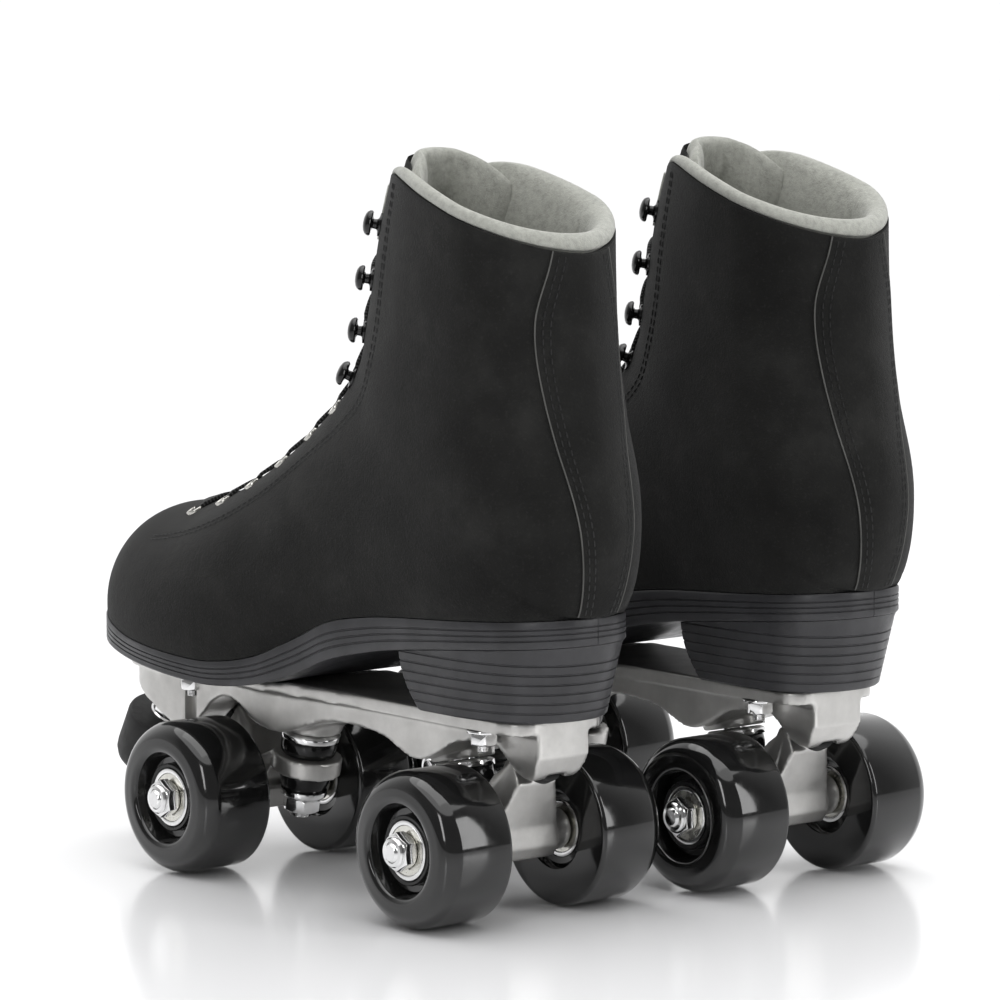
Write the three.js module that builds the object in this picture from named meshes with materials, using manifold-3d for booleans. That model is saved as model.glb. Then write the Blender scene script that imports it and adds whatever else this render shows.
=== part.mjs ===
// A pair of quad roller skates: two high-top lace-up boots on four-wheel chassis.
//
// Each skate has a suede upper with a padded lining, a tongue, a flat lace, an insole, an outsole and a
// heel, screwed to an alloy plate. The plate carries two trucks and a toe stop. A truck is a hanger with a
// pressed-in axle. Its ring is held between two rubber cushions on a kingpin, and its nose sits in a pocket
// of the plate, so that it can lean and steer. A wheel runs on a pair of bearings between the hanger and a
// lock nut.
//
// Frame, in millimetres: +X points to the toes, +Y to the wearer's left, +Z up. The origin is on the floor,
// under the middle of the pair. A skate is modelled as the left one, about the middle of its own wheelbase,
// and the right one is its mirror image.
import * as THREE from "three";
import { mergeVertices } from "three/addons/utils/BufferGeometryUtils.js";
import Module from "manifold-3d";

// ---- Driving dimensions ----

const GAP = 0.3; // clearance between two solids that touch

// The pair
const SKATE_SPACING = 125; // centre plane to centre plane
const RIGHT_SETBACK = 12; // how far the right skate stands behind the left one

// Chassis
const WHEELBASE = 143;
const AXLE_X = WHEELBASE / 2; // of the front axle, and as far back the rear one
const WHEEL_RADIUS = 29;
const WHEEL_WIDTH = 31;
const WHEEL_INNER_FACE = 21.5; // distance of the wheel's inner face from the skate's centre plane
const WHEEL_SEGMENTS = 20;
const BEARING_RADIUS = 11;
const BEARING_WIDTH = 7;
const BEARING_SPACER = 10; // length of the sleeve between a wheel's two bearings
const BEARING_INSET = 2.9; // depth of the inner bearing in the wheel
const AXLE_RADIUS = 3.9;
const AXLE_NUT_ACROSS = 13; // across flats
const AXLE_NUT_HEIGHT = 6.6;
const AXLE_TIP = 0.8; // how far the axle shows past its nut

const RING_OFFSET = 23; // from the axle in to the kingpin ring
const RING_HEIGHT = 40.5; // of the ring's centre above the floor
const RING_RADIUS = 13.5;
const RING_THICKNESS = 7;
const KINGPIN_TILT = 12; // degrees, its top leans towards the middle of the skate
const KINGPIN_RADIUS = 4.5;
const CUSHION_HEIGHT = 7.5;
const CUSHION_RADIUS = 10.5;
const WASHER_RADIUS = 11.5;
const WASHER_THICKNESS = 2;
const PIVOT_OFFSET = 23; // from the axle out to the end of the pivot nose
const PIVOT_HEIGHT = 60;
const NOSE_RADIUS = 4.5;
const HANGER_TUBE_RADIUS = 8;
const HORN_HALF = 7.5; // half the width of the hanger's arm to its nose

// Plate
const PLATE_FRONT = AXLE_X + 67.8;
const PLATE_REAR = -AXLE_X - 31.3;
const PLATE_TOP = 76.1; // behind the ball of the foot
const FLANGE_BOTTOM = 71;
const FLANGE_FRONT_HALF = 26;
const FLANGE_REAR_HALF = 22.5;
const FLANGE_LIP = 3.5; // how far the flange stands out past the side walls
const PLATE_WALL = 3.5;
const PLATE_HOLLOW = [-AXLE_X + 38.5, AXLE_X - 43.5]; // where its underside is hollow, between the trucks
const REAR_BLOCK_HALF = 12;
const REAR_BLOCK_FRONT = -AXLE_X - 0.5;
const BOSS_RADIUS = 11.5;

// Toe stop
const STOP_TILT = 24; // degrees from the vertical, its foot leans forward
const STOP_X = AXLE_X + 54.3; // where its axis meets the plate
const STOP_RADIUS = 20;
const STOP_HEIGHT = 22.5;
const STOP_STEM_RADIUS = 6;
const STOP_NUT_ACROSS = 22;
const STOP_NUT_HEIGHT = 9;
const STOP_NECK = 3.4; // between the nut and the rubber

// Boot
const UPPER_THICKNESS = 2.6;
const LINING_THICKNESS = 4.2;
const COLLAR_RIM = 3.4; // how far the lining stands up past the upper
const THROAT_HALF = 13; // half the gap between the two rows of eyelets
const TONGUE_HALF = 20;
const INSOLE_THICKNESS = 4;
const SOLE_MARGIN = 0.6; // how far the sole stands out past the upper
const HEEL_BOTTOM = 76.4;
const HEEL_TAPER = 5; // how much the heel draws in from top to bottom
const TOE_SWING = 6; // how far the toe turns in towards the other foot
const WALL_SHARE = 0.36; // where a girth is widest, as a share of its height from the sole
const FOOT_BOXINESS = 2.8; // exponent of a girth's lower half round the foot; 2 is an ellipse
const SHAFT_BOXINESS = 1.7; // and round the shaft, which is narrow at the back
const LACE_WIDTH = 7;
const LACE_THICKNESS = 1.6;
const LACE_LIFT = 1.2; // between the lace and the boot
const GIRTH_POINTS = 12; // round each girth

// Girths of the boot from toe to top: where each crosses the instep and the sole or heel line, as x and z,
// and its half widths on the outer and inner side of the foot.
const GIRTHS = [
  { top: [151.5, 110], base: [151.5, 88], outer: 7, inner: 7 },
  { top: [150.3, 114.5], base: [150.3, 84], outer: 17, inner: 17 },
  { top: [146.5, 120.7], base: [146.5, 80], outer: 26, inner: 26 },
  { top: [139, 128.3], base: [139, 77], outer: 34, inner: 34 },
  { top: [125, 133.8], base: [125, 74], outer: 41, inner: 41 },
  { top: [104, 137], base: [104, 71], outer: 46, inner: 45 },
  { top: [80, 143.3], base: [79, 69], outer: 48, inner: 46 },
  { top: [58, 153.2], base: [52, 69], outer: 47, inner: 44 },
  { top: [38, 165.5], base: [26, 74], outer: 43, inner: 39 },
  { top: [20, 179.5], base: [-6, 88], outer: 39, inner: 35 },
  { top: [7, 193], base: [-45, 95], outer: 37, inner: 34 },
  { top: [-0.5, 207], base: [-92, 99], outer: 38, inner: 36 },
  { top: [-3, 221], base: [-119, 112], outer: 39, inner: 38 },
  { top: [-5.5, 235], base: [-129, 143], outer: 38, inner: 37.5 },
  { top: [-8.5, 250], base: [-123.5, 175], outer: 36, inner: 36 },
  { top: [-12.5, 262.5], base: [-118.5, 203], outer: 35, inner: 35 },
  { top: [-17, 273], base: [-116, 232], outer: 35, inner: 35 },
  { top: [-21, 284], base: [-114, 258], outer: 36, inner: 36 },
];
const LAST_GIRTH = GIRTHS.length - 1;
const THROAT_GIRTH = 4.8; // where the throat opens, counted in girths
const EYELET_ROWS = { first: 5.4, last: 9.6, count: 6 }; // in girths; the hooks follow them up the shaft
const HOOK_ROWS = { first: 10.5, last: 14.4, count: 4 };
const FREE_HOOKS = 1; // rows at the top that the lace leaves out
const EYELET_ANGLE = 26; // degrees of girth from the instep ridge to a row of eyelets

// Side views as x and z: the seam between upper and sole, the underside of the sole, the collar, the plate.
const SOLE_TOP = [
  [152, 95.3], [139, 91.2], [109, 85.7], [70, 82.9], [50, 83.3], [30, 87.2], [11, 95.1], [-9, 104],
  [-29, 107.9], [-48, 109.9], [-85, 112.5], [-126, 115.3],
];
const SOLE_BOTTOM = [
  [154, 86.2], [139, 81.4], [109, 77.6], [70, 74.5], [50, 74.1], [30, 76.6], [11, 82.3], [-9, 90.2],
  [-29, 95], [-47, 98], [-80, 101.8], [-126, 105.6],
];
const HEEL_FRONT_TOP = -47.3;
const HEEL_FRONT_BOTTOM = -56;
const HEEL_REAR_BOTTOM = -112;
const COLLAR = [
  [-125, 242.4], [-114.2, 245.7], [-87.6, 256], [-60, 264.8], [-42.4, 269.6], [-31, 270.6], [-21, 266],
  [-15.5, 257], [-14.5, 246],
];
const TONGUE_TOP = [[-48, 268], [-31, 277.6], [-21, 281.7], [-15, 281], [-8, 277]];
const PLATE_UNDERSIDE = [ // its arches keep their places over the two axles
  ...[[-31.3, 62], [-26, 53.8], [-18.5, 54.6], [-13.5, 59.7], [-4.3, 65.4], [7.5, 64.6], [17.5, 59.5],
    [27.5, 55.6], [35.5, 56], [50.8, 61.7]].map(([x, z]) => [x - AXLE_X, z]),
  [-1, 63.4], [12, 62.5],
  ...[[-46.5, 59], [-35.5, 55.8], [-27.5, 55.6], [-17.5, 58], [-10.5, 62.7], [-1.5, 65.4], [7.5, 62.5],
    [14.5, 56.4], [23.5, 50.9], [33.7, 50.3]].map(([x, z]) => [x + AXLE_X, z]),
];

// ---- Solids ----

const wasm = await Module();
wasm.setup();
const { Manifold, Mesh } = wasm;
const radians = THREE.MathUtils.degToRad;
const ring = (count, point) => Array.from({ length: count }, (_, i) => point((i / count) * 2 * Math.PI));

// A closed three.js geometry as a manifold-3d solid with its faces pointing out.
function solid(geometry) {
  const bare = new THREE.BufferGeometry().setAttribute("position", geometry.getAttribute("position"));
  bare.setIndex(geometry.index);
  const merged = mergeVertices(bare, 1e-4);
  const triVerts = new Uint32Array(merged.index.array);
  const mesh = { numProp: 3, vertProperties: merged.attributes.position.array, triVerts };
  const made = new Manifold(new Mesh(mesh));
  return made.volume() < 0 ? new Manifold(new Mesh({ ...mesh, triVerts: triVerts.reverse() })) : made;
}

function geometryOf(made) {
  const mesh = made.getMesh();
  const geometry = new THREE.BufferGeometry();
  geometry.setAttribute("position", new THREE.BufferAttribute(mesh.vertProperties, 3));
  geometry.setIndex(new THREE.BufferAttribute(mesh.triVerts, 1));
  return geometry;
}

const join = (...solids) => solids.reduce((all, next) => all.add(next));

// Closed body through rings of points, each ring the same count, with a flat fan at both ends.
function loft(rings) {
  const count = rings[0].length;
  const points = rings.flat();
  const faces = [];
  for (let i = 0; i + 1 < rings.length; i++)
    for (let j = 0; j < count; j++) {
      const [a, b] = [i * count + j, i * count + ((j + 1) % count)];
      faces.push(a, b, b + count, a, b + count, a + count);
    }
  const cap = (first, turned) => {
    const middle = new THREE.Vector3();
    for (let j = 0; j < count; j++) middle.addScaledVector(points[first + j], 1 / count);
    points.push(middle);
    for (let j = 0; j < count; j++) {
      const [a, b] = [first + j, first + ((j + 1) % count)];
      faces.push(points.length - 1, turned ? b : a, turned ? a : b);
    }
  };
  cap(0, true);
  cap((rings.length - 1) * count, false);
  const geometry = new THREE.BufferGeometry().setFromPoints(points);
  return solid(geometry.setIndex(faces));
}

// Body with a side view as [x, z] points, reaching from y0 to y1.
function sidePrism(points, y0, y1) {
  const shape = new THREE.Shape(points.map(([x, z]) => new THREE.Vector2(x, z)));
  const geometry = new THREE.ExtrudeGeometry(shape, { depth: y1 - y0, bevelEnabled: false });
  return solid(geometry.rotateX(Math.PI / 2).translate(0, y1, 0));
}

// Body with a top view as [x, y] points, reaching from z0 to z1.
function planPrism(points, z0, z1) {
  const shape = new THREE.Shape(points.map(([x, y]) => new THREE.Vector2(x, y)));
  return solid(new THREE.ExtrudeGeometry(shape, { depth: z1 - z0, bevelEnabled: false }).translate(0, 0, z0));
}

// Body of revolution about Y from [radius, y] points.
function turned(profile, segments) {
  const closed = profile.concat(profile[0][0] === 0 ? [] : [profile[0]]);
  return solid(new THREE.LatheGeometry(closed.map(([r, y]) => new THREE.Vector2(r, y)), segments));
}

// Prism or cylinder about Y, from y0 to y1; six segments make a hexagon.
function round(radius, y0, y1, segments) {
  const geometry = new THREE.CylinderGeometry(radius, radius, y1 - y0, segments);
  return solid(geometry.translate(0, (y0 + y1) / 2, 0));
}

// Stands a body made about Y along a direction in the XZ plane, with its own origin at [x, z].
function aim(made, [x, z], [dx, dz]) {
  const upright = made.rotate([90, 0, 0]); // +Y becomes +Z
  return upright.rotate([0, THREE.MathUtils.radToDeg(Math.atan2(dx, dz)), 0]).translate([x, 0, z]);
}

// Height of a side-view line at x.
function heightOf(line, x) {
  const at = line.findIndex(([px]) => px <= x);
  if (at <= 0) return line[at === 0 ? 0 : line.length - 1][1];
  const [[x0, z0], [x1, z1]] = [line[at - 1], line[at]];
  return THREE.MathUtils.mapLinear(x, x0, x1, z0, z1);
}

// A smooth line through side-view points.
function smooth(points, steps) {
  const curve = new THREE.SplineCurve(points.map(([x, z]) => new THREE.Vector2(x, z)));
  return curve.getPoints(steps).map((p) => [p.x, p.y]);
}

// ---- Boot ----

const topCurve = new THREE.CatmullRomCurve3(
  GIRTHS.map((g) => new THREE.Vector3(g.top[0], g.outer, g.top[1])), false, "catmullrom");
const baseCurve = new THREE.CatmullRomCurve3(
  GIRTHS.map((g) => new THREE.Vector3(g.base[0], g.inner, g.base[1])), false, "catmullrom");

// Point of the boot at a girth (0 at the toe) and an angle round it: 0 is the outer side, 90 the instep,
// 180 the inner side and 270 the sole. Inset moves it inwards.
function bootPoint(girth, angle, inset) {
  const top = topCurve.getPoint(girth / LAST_GIRTH);
  const base = baseCurve.getPoint(girth / LAST_GIRTH);
  const [outer, inner] = [top.y, base.y];
  const length = Math.hypot(top.x - base.x, top.z - base.z);
  const [across, along] = [Math.cos(angle), Math.sin(angle)];
  const upward = THREE.MathUtils.smoothstep(girth, 10, 14);
  const lower = 2 / THREE.MathUtils.lerp(FOOT_BOXINESS, SHAFT_BOXINESS, upward);
  const share = along > 0
    ? WALL_SHARE + (1 - WALL_SHARE) * along
    : WALL_SHARE * (1 - Math.abs(along) ** lower);
  const bulge = along > 0 ? Math.abs(across) : Math.abs(across) ** lower;
  const reach = inset / length + share * (1 - (2 * inset) / length);
  const half = Math.max((across > 0 ? outer : inner) - inset, 0.5);
  const x = base.x + (top.x - base.x) * reach - inset * Math.max(0, 1 - girth / 3);
  const z = base.z + (top.z - base.z) * reach;
  return new THREE.Vector3(x, Math.sign(across) * half * bulge - toeSwing(x), z);
}

function toeSwing(x) {
  return TOE_SWING * (Math.max(0, x) / PLATE_FRONT) ** 2;
}

function bootBody(inset) {
  const girth = (i) => ring(GIRTH_POINTS, (angle) => bootPoint(i, angle, inset));
  return loft(GIRTHS.map((_, i) => girth(i)));
}

const FAR = 400; // beyond anything in the model

// Everything below a side-view line that runs from the toe back, let down by `drop`.
function below(line, drop) {
  const edge = line.map(([x, z]) => [x, z - drop]);
  const [first, last] = [edge[0], edge[edge.length - 1]];
  return sidePrism([[FAR, first[1]], ...edge, [-FAR, last[1]], [-FAR, -FAR], [FAR, -FAR]], -FAR, FAR);
}

// Everything above a side-view line that runs from the back to the front, lifted by `rise`.
function above(line, rise) {
  const lifted = line.map(([x, z]) => [x, z + rise]);
  const [first, last] = [lifted[0], lifted[lifted.length - 1]];
  return sidePrism([[-FAR, first[1]], ...lifted, [last[0], FAR], [-FAR, FAR]], -FAR, FAR);
}

// The slot down the front of the boot, between the two rows of eyelets.
function throat(half, start) {
  const line = [];
  for (let girth = start; girth < LAST_GIRTH; girth++) line.push(topCurve.getPoint(girth / LAST_GIRTH));
  line.push(topCurve.getPoint(1));
  const depth = 36;
  const normal = (i) => {
    const [a, b] = [line[Math.max(i - 1, 0)], line[Math.min(i + 1, line.length - 1)]];
    return new THREE.Vector2(b.z - a.z, -(b.x - a.x)).normalize();
  };
  const offset = (i, d) => [line[i].x + normal(i).x * d, line[i].z + normal(i).y * d];
  const outer = line.map((_, i) => offset(i, depth));
  const inside = line.map((_, i) => offset(i, -depth)).reverse();
  return sidePrism([...outer, ...inside], -half, half);
}

// The slot runs along the ridge of the boot, which the toe's swing carries a little to the side.
const slotCut = (half, start) => throat(half, start).translate([0, -toeSwing(topCurve.getPoint(0.4).x), 0]);

const soleTop = smooth(SOLE_TOP, 18);
const soleBottom = smooth(SOLE_BOTTOM, 18);
const collar = smooth(COLLAR, 12);
const belowSole = below(soleTop, -GAP);

function upper() {
  const shell = bootBody(0).subtract(bootBody(UPPER_THICKNESS));
  return shell.subtract(belowSole).subtract(above(collar, 0)).subtract(slotCut(THROAT_HALF, THROAT_GIRTH));
}

const LINING_INSET = UPPER_THICKNESS + GAP;
const LINING_INSIDE = LINING_INSET + LINING_THICKNESS;

function lining() {
  const shell = bootBody(LINING_INSET).subtract(bootBody(LINING_INSIDE));
  const slot = slotCut(TONGUE_HALF + GAP * 2, THROAT_GIRTH + 0.3);
  return shell.subtract(belowSole).subtract(above(collar, COLLAR_RIM)).subtract(slot);
}

function tongue() {
  const shell = bootBody(LINING_INSET).subtract(bootBody(LINING_INSIDE - GAP));
  const band = slotCut(TONGUE_HALF, THROAT_GIRTH + 0.6);
  return shell.intersect(band).subtract(above(TONGUE_TOP, 0));
}

function insole() {
  const inside = bootBody(LINING_INSIDE + GAP).subtract(below(soleTop, -GAP));
  return inside.intersect(below(soleTop, -GAP - INSOLE_THICKNESS));
}

// Where the boot's wall meets the sole's top on one side (+1 outer, -1 inner), or nothing behind the heel.
function solePoint(girth, side) {
  const at = (angle) => bootPoint(girth, side > 0 ? -angle : Math.PI + angle, 0);
  const height = (p) => p.z - heightOf(SOLE_TOP, p.x);
  let [high, low] = [0, Math.PI / 2];
  if (height(at(low)) > 0) return null;
  for (let i = 0; i < 30; i++) {
    const middle = (high + low) / 2;
    if (height(at(middle)) > 0) high = middle;
    else low = middle;
  }
  const p = at(high);
  return [p.x, p.y];
}

// The sole's edge as a closed top view, toe first, standing out past the boot's wall.
function soleOutline(margin) {
  const girths = [0, 1, 2, 3, 4, 5, 6, 7, 8, 9, 10, 11, 11.6, 12];
  const side = (s) => girths.map((g) => solePoint(g, s)).filter(Boolean);
  const [outer, inner] = [side(1), side(-1)];
  const line = [...outer, ...inner.reverse()];
  return line.map(([x, y], i) => {
    const [before, after] = [line.at(i - 1), line[(i + 1) % line.length]];
    const normal = new THREE.Vector2(before[1] - after[1], after[0] - before[0]).normalize();
    return [x - normal.x * margin, y - normal.y * margin];
  });
}

const outline = soleOutline(SOLE_MARGIN);

function outsole() {
  const blank = planPrism(outline, 0, FAR);
  return blank.intersect(below(soleTop, 0)).subtract(below(soleBottom, 0));
}

// The heel block: the sole's outline behind the arch, drawn in towards its foot.
function heel() {
  const middle = (HEEL_FRONT_BOTTOM + HEEL_REAR_BOTTOM) / 2;
  const backTop = Math.min(...outline.map(([x]) => x));
  const reach = (HEEL_REAR_BOTTOM - middle) / (backTop - middle);
  const narrow = 1 - HEEL_TAPER / GIRTHS[11].outer;
  const level = (z, share) => outline
    .filter(([x]) => x < 20)
    .map(([x, y]) => new THREE.Vector3(
      middle + (x - middle) * THREE.MathUtils.lerp(1, reach, share),
      y * THREE.MathUtils.lerp(1, narrow, share), z));
  const block = loft([level(HEEL_BOTTOM, 1), level(soleBottom[0][1] + 25, 0)]);
  const top = heightOf(soleBottom, HEEL_FRONT_TOP);
  const face = [[HEEL_FRONT_BOTTOM, HEEL_BOTTOM - 1], [HEEL_FRONT_BOTTOM, HEEL_BOTTOM], [-50.5, 84],
    [HEEL_FRONT_TOP - 0.7, 91], [HEEL_FRONT_TOP, top + 6], [FAR, top + 6], [FAR, HEEL_BOTTOM - 1]];
  return block.subtract(sidePrism(face, -FAR, FAR)).intersect(below(soleBottom, GAP));
}

// A flat strip on the boot from one girth and angle to another.
function strip(from, to) {
  const steps = 2;
  const reach = (LACE_WIDTH / 2) / 14; // half the strip's width, in girths
  const rings = [];
  for (let i = 0; i <= steps; i++) {
    const [girth, angle] = [0, 1].map((k) => THREE.MathUtils.lerp(from[k], to[k], i / steps));
    const lift = (inset) => (side) => bootPoint(girth + side * reach, angle, -inset);
    const [under, over] = [lift(LACE_LIFT), lift(LACE_LIFT + LACE_THICKNESS)];
    rings.push([under(-1), under(1), over(1), over(-1)]);
  }
  return loft(rings);
}

function lace() {
  const spread = ({ first, last, count }) => Array.from({ length: count },
    (_, i) => THREE.MathUtils.lerp(first, last, i / (count - 1)));
  const rows = [...spread(EYELET_ROWS), ...spread(HOOK_ROWS)].slice(0, -FREE_HOOKS);
  const [outer, inner] = [-1, 1].map((side) => Math.PI / 2 + side * radians(EYELET_ANGLE));
  const parts = [strip([rows[0], outer], [rows[0], inner])];
  for (let i = 0; i + 1 < rows.length; i++) {
    parts.push(strip([rows[i], outer], [rows[i + 1], inner]));
    parts.push(strip([rows[i], inner], [rows[i + 1], outer]));
  }
  return join(...parts);
}

// ---- Plate ----

const stopAxis = [Math.sin(radians(STOP_TILT)), -Math.cos(radians(STOP_TILT))]; // down and forward
const chin = PLATE_UNDERSIDE[PLATE_UNDERSIDE.length - 1];
const chinHeight = (x) => chin[1] + (x - chin[0]) * Math.tan(radians(STOP_TILT));
const kingpinAxis = [-Math.sin(radians(KINGPIN_TILT)), Math.cos(radians(KINGPIN_TILT))]; // up, front truck
const ringCentre = [WHEELBASE / 2 - RING_OFFSET, RING_HEIGHT];
const pivot = [WHEELBASE / 2 + PIVOT_OFFSET, PIVOT_HEIGHT];
const steerAxis = new THREE.Vector2(pivot[0] - ringCentre[0], pivot[1] - ringCentre[1]).normalize().toArray();
const STACK = RING_THICKNESS / 2 + GAP; // from the ring's centre to a cushion
const WASHER_AT = STACK + CUSHION_HEIGHT + GAP;
const BOSS_AT = WASHER_AT + WASHER_THICKNESS + GAP;

// The same body at the front truck and, turned half round, at the rear truck.
const atBothTrucks = (made) => join(made, made.rotate([0, 0, 180]));

function flangeOutline(inset) {
  const [front, rear] = [FLANGE_FRONT_HALF - inset, FLANGE_REAR_HALF - inset];
  const [nose, tail] = [16, 6]; // corner lengths
  const half = [[PLATE_REAR, rear - tail], [PLATE_REAR + tail, rear], [-20, rear], [60, front],
    [PLATE_FRONT - nose, front - 1], [PLATE_FRONT - nose / 3, front - nose / 3], [PLATE_FRONT, front - nose]];
  return [...half, ...half.map(([x, y]) => [x, -y]).reverse()];
}

function plate() {
  const top = soleBottom.filter(([x]) => x > 34 && x < PLATE_FRONT).map(([x, z]) => [x, z - GAP]);
  const frontTop = heightOf(soleBottom, PLATE_FRONT) - GAP;
  const under = smooth(PLATE_UNDERSIDE, 36);
  const side = [[PLATE_REAR, PLATE_TOP], ...under, [PLATE_FRONT, chinHeight(PLATE_FRONT)],
    [PLATE_FRONT, frontTop], ...top, [34, PLATE_TOP - 0.8], [28, PLATE_TOP]];
  const whole = sidePrism(side, -FAR, FAR);
  const flange = planPrism(flangeOutline(0), FLANGE_BOTTOM, FAR);
  const walls = planPrism(flangeOutline(FLANGE_LIP), 0, FAR);
  const waist = sidePrism([[REAR_BLOCK_FRONT, 0], [REAR_BLOCK_FRONT, FLANGE_BOTTOM], [-FAR, FLANGE_BOTTOM],
    [-FAR, 0]], REAR_BLOCK_HALF, FAR);
  const [boltRear, boltFront] = [AXLE_X + 18.5, AXLE_X + 25.5];
  const bolts = sidePrism([[boltRear, 0], [boltRear, FLANGE_BOTTOM], [boltFront, FLANGE_BOTTOM],
    [boltFront, 0]], 17, FAR);
  const cuts = join(waist, bolts);
  const hollowHalf = FLANGE_REAR_HALF - FLANGE_LIP - PLATE_WALL;
  const [hollowRear, hollowFront] = PLATE_HOLLOW;
  const hollowSide = [[hollowRear, 0], [hollowRear, FLANGE_BOTTOM], [hollowFront, FLANGE_BOTTOM],
    [hollowFront, 0]];
  const hollow = sidePrism(hollowSide, -hollowHalf, hollowHalf);
  const boss = aim(round(BOSS_RADIUS, BOSS_AT, BOSS_AT + 9, 12), ringCentre, kingpinAxis);
  const pin = aim(round(KINGPIN_RADIUS + GAP, 0, BOSS_AT + 9, 12), ringCentre, kingpinAxis);
  const pocket = aim(round(NOSE_RADIUS + 0.8, -14, 1.2, 12), pivot, steerAxis);
  const stem = aim(round(STOP_STEM_RADIUS + GAP, -16, 6, 16), [STOP_X, chinHeight(STOP_X)], stopAxis);
  const base = whole.intersect(join(flange, walls)).subtract(join(cuts, cuts.mirror([0, 1, 0]), hollow));
  const clear = aim(round(BOSS_RADIUS + 1.5, -20, BOSS_AT, 12), ringCentre, kingpinAxis);
  return join(base, atBothTrucks(boss)).subtract(join(atBothTrucks(pin), atBothTrucks(pocket), stem,
    atBothTrucks(clear)));
}

// ---- Trucks, as the front one ----

const BEARING_AT = WHEEL_INNER_FACE + BEARING_INSET;
const BEARING_END = BEARING_AT + 2 * BEARING_WIDTH + BEARING_SPACER;
const TUBE_HALF = BEARING_AT - GAP;
const NUT_AT = BEARING_END + GAP;
const AXLE_HALF = NUT_AT + AXLE_NUT_HEIGHT + AXLE_TIP;

function hanger() {
  const at = [AXLE_X, WHEEL_RADIUS];
  const centred = (made) => made.translate([at[0], 0, at[1]]);
  const tube = centred(round(HANGER_TUBE_RADIUS, -TUBE_HALF, TUBE_HALF, 12));
  const axle = centred(round(AXLE_RADIUS, -AXLE_HALF, AXLE_HALF, 12));
  const body = centred(round(HANGER_TUBE_RADIUS + 3, -15, 15, 12));
  const band = aim(round(RING_RADIUS, -RING_THICKNESS / 2, RING_THICKNESS / 2, 16), ringCentre, kingpinAxis);
  const bore = aim(round(KINGPIN_RADIUS + 1.8, -RING_THICKNESS, RING_THICKNESS, 12), ringCentre, kingpinAxis);
  const arm = sidePrism([[ringCentre[0] + 11.5, RING_HEIGHT - 0.5], [ringCentre[0] + 9, RING_HEIGHT + 5],
    [AXLE_X - 2, WHEEL_RADIUS + 11], [AXLE_X, WHEEL_RADIUS], [AXLE_X - 9, WHEEL_RADIUS + 4]], -10, 10);
  const back = (d) => [pivot[0] - steerAxis[0] * d, pivot[1] - steerAxis[1] * d];
  const [hornX, hornZ] = back(11);
  const hornSide = [[AXLE_X - 6, WHEEL_RADIUS + 8], [AXLE_X + 8, WHEEL_RADIUS + 2], [hornX + 3, hornZ - 4.4],
    [hornX - 2, hornZ + 3.6], [AXLE_X + 2, back(20)[1] + 1]];
  const horn = sidePrism(hornSide, -HORN_HALF, HORN_HALF);
  const tip = [[0, -16], [NOSE_RADIUS, -16], [NOSE_RADIUS, -2], [NOSE_RADIUS * 0.6, 0], [0, 0.6]];
  const nose = aim(turned(tip, 10), pivot, steerAxis);
  return join(tube, axle, body, band.add(arm).subtract(bore), horn, nose);
}

function kingpin() {
  const nutTop = -WASHER_AT - WASHER_THICKNESS;
  const pin = turned([[0, BOSS_AT + 8.5], [KINGPIN_RADIUS, BOSS_AT + 8.5],
    [KINGPIN_RADIUS, WASHER_AT + WASHER_THICKNESS], [WASHER_RADIUS, WASHER_AT + WASHER_THICKNESS],
    [WASHER_RADIUS, WASHER_AT], [KINGPIN_RADIUS, WASHER_AT], [KINGPIN_RADIUS, -WASHER_AT],
    [WASHER_RADIUS - 2.5, -WASHER_AT], [WASHER_RADIUS - 2.5, nutTop], [KINGPIN_RADIUS, nutTop],
    [KINGPIN_RADIUS, nutTop - 7.5], [0, nutTop - 7.5]].reverse(), 12);
  const nut = round(7.5, nutTop - 5.5, nutTop + 0.2, 6);
  return aim(pin.add(nut), ringCentre, kingpinAxis);
}

// A cushion ring; the lower one tapers to its foot.
function cushion(start, end, startRadius, endRadius) {
  const bore = KINGPIN_RADIUS + GAP;
  const profile = [[bore, start], [startRadius, start], [endRadius, end], [bore, end]];
  return aim(turned(profile, 12), ringCentre, kingpinAxis);
}

function upperCushion() {
  return cushion(STACK, STACK + CUSHION_HEIGHT, CUSHION_RADIUS, CUSHION_RADIUS);
}

function lowerCushion() {
  return cushion(-STACK - CUSHION_HEIGHT, -STACK, CUSHION_RADIUS - 2.5, CUSHION_RADIUS - 0.5);
}

// ---- Wheels, as the outer front one about its own axle; y counts from the wheel's inner face ----

function wheel() {
  const seat = BEARING_RADIUS + GAP;
  const shoulder = BEARING_RADIUS - 1.8;
  const first = BEARING_INSET + BEARING_WIDTH + GAP;
  const last = BEARING_INSET + BEARING_WIDTH + BEARING_SPACER - GAP;
  const rim = WHEEL_RADIUS / Math.cos(Math.PI / WHEEL_SEGMENTS); // flats touch the true radius
  const profile = [[seat, 0], [rim - 3, 0], [rim, 3], [rim, WHEEL_WIDTH - 7], [rim - 2, WHEEL_WIDTH - 2.6],
    [rim - 5.5, WHEEL_WIDTH], [17, WHEEL_WIDTH], [seat, WHEEL_WIDTH - 4.4], [seat, last], [shoulder, last],
    [shoulder, first], [seat, first]];
  return turned(profile, WHEEL_SEGMENTS).rotate([0, 180 / WHEEL_SEGMENTS, 0]); // it stands on a flat
}

function bearings() {
  const bore = AXLE_RADIUS + 0.2;
  const sleeve = 6;
  const [a, b] = [BEARING_INSET, BEARING_INSET + BEARING_WIDTH];
  const [c, d] = [b + BEARING_SPACER, b + BEARING_SPACER + BEARING_WIDTH];
  const r = BEARING_RADIUS;
  return turned([[bore, a], [r, a], [r, b], [sleeve, b], [sleeve, c], [r, c], [r, d], [bore, d]], 12);
}

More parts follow.
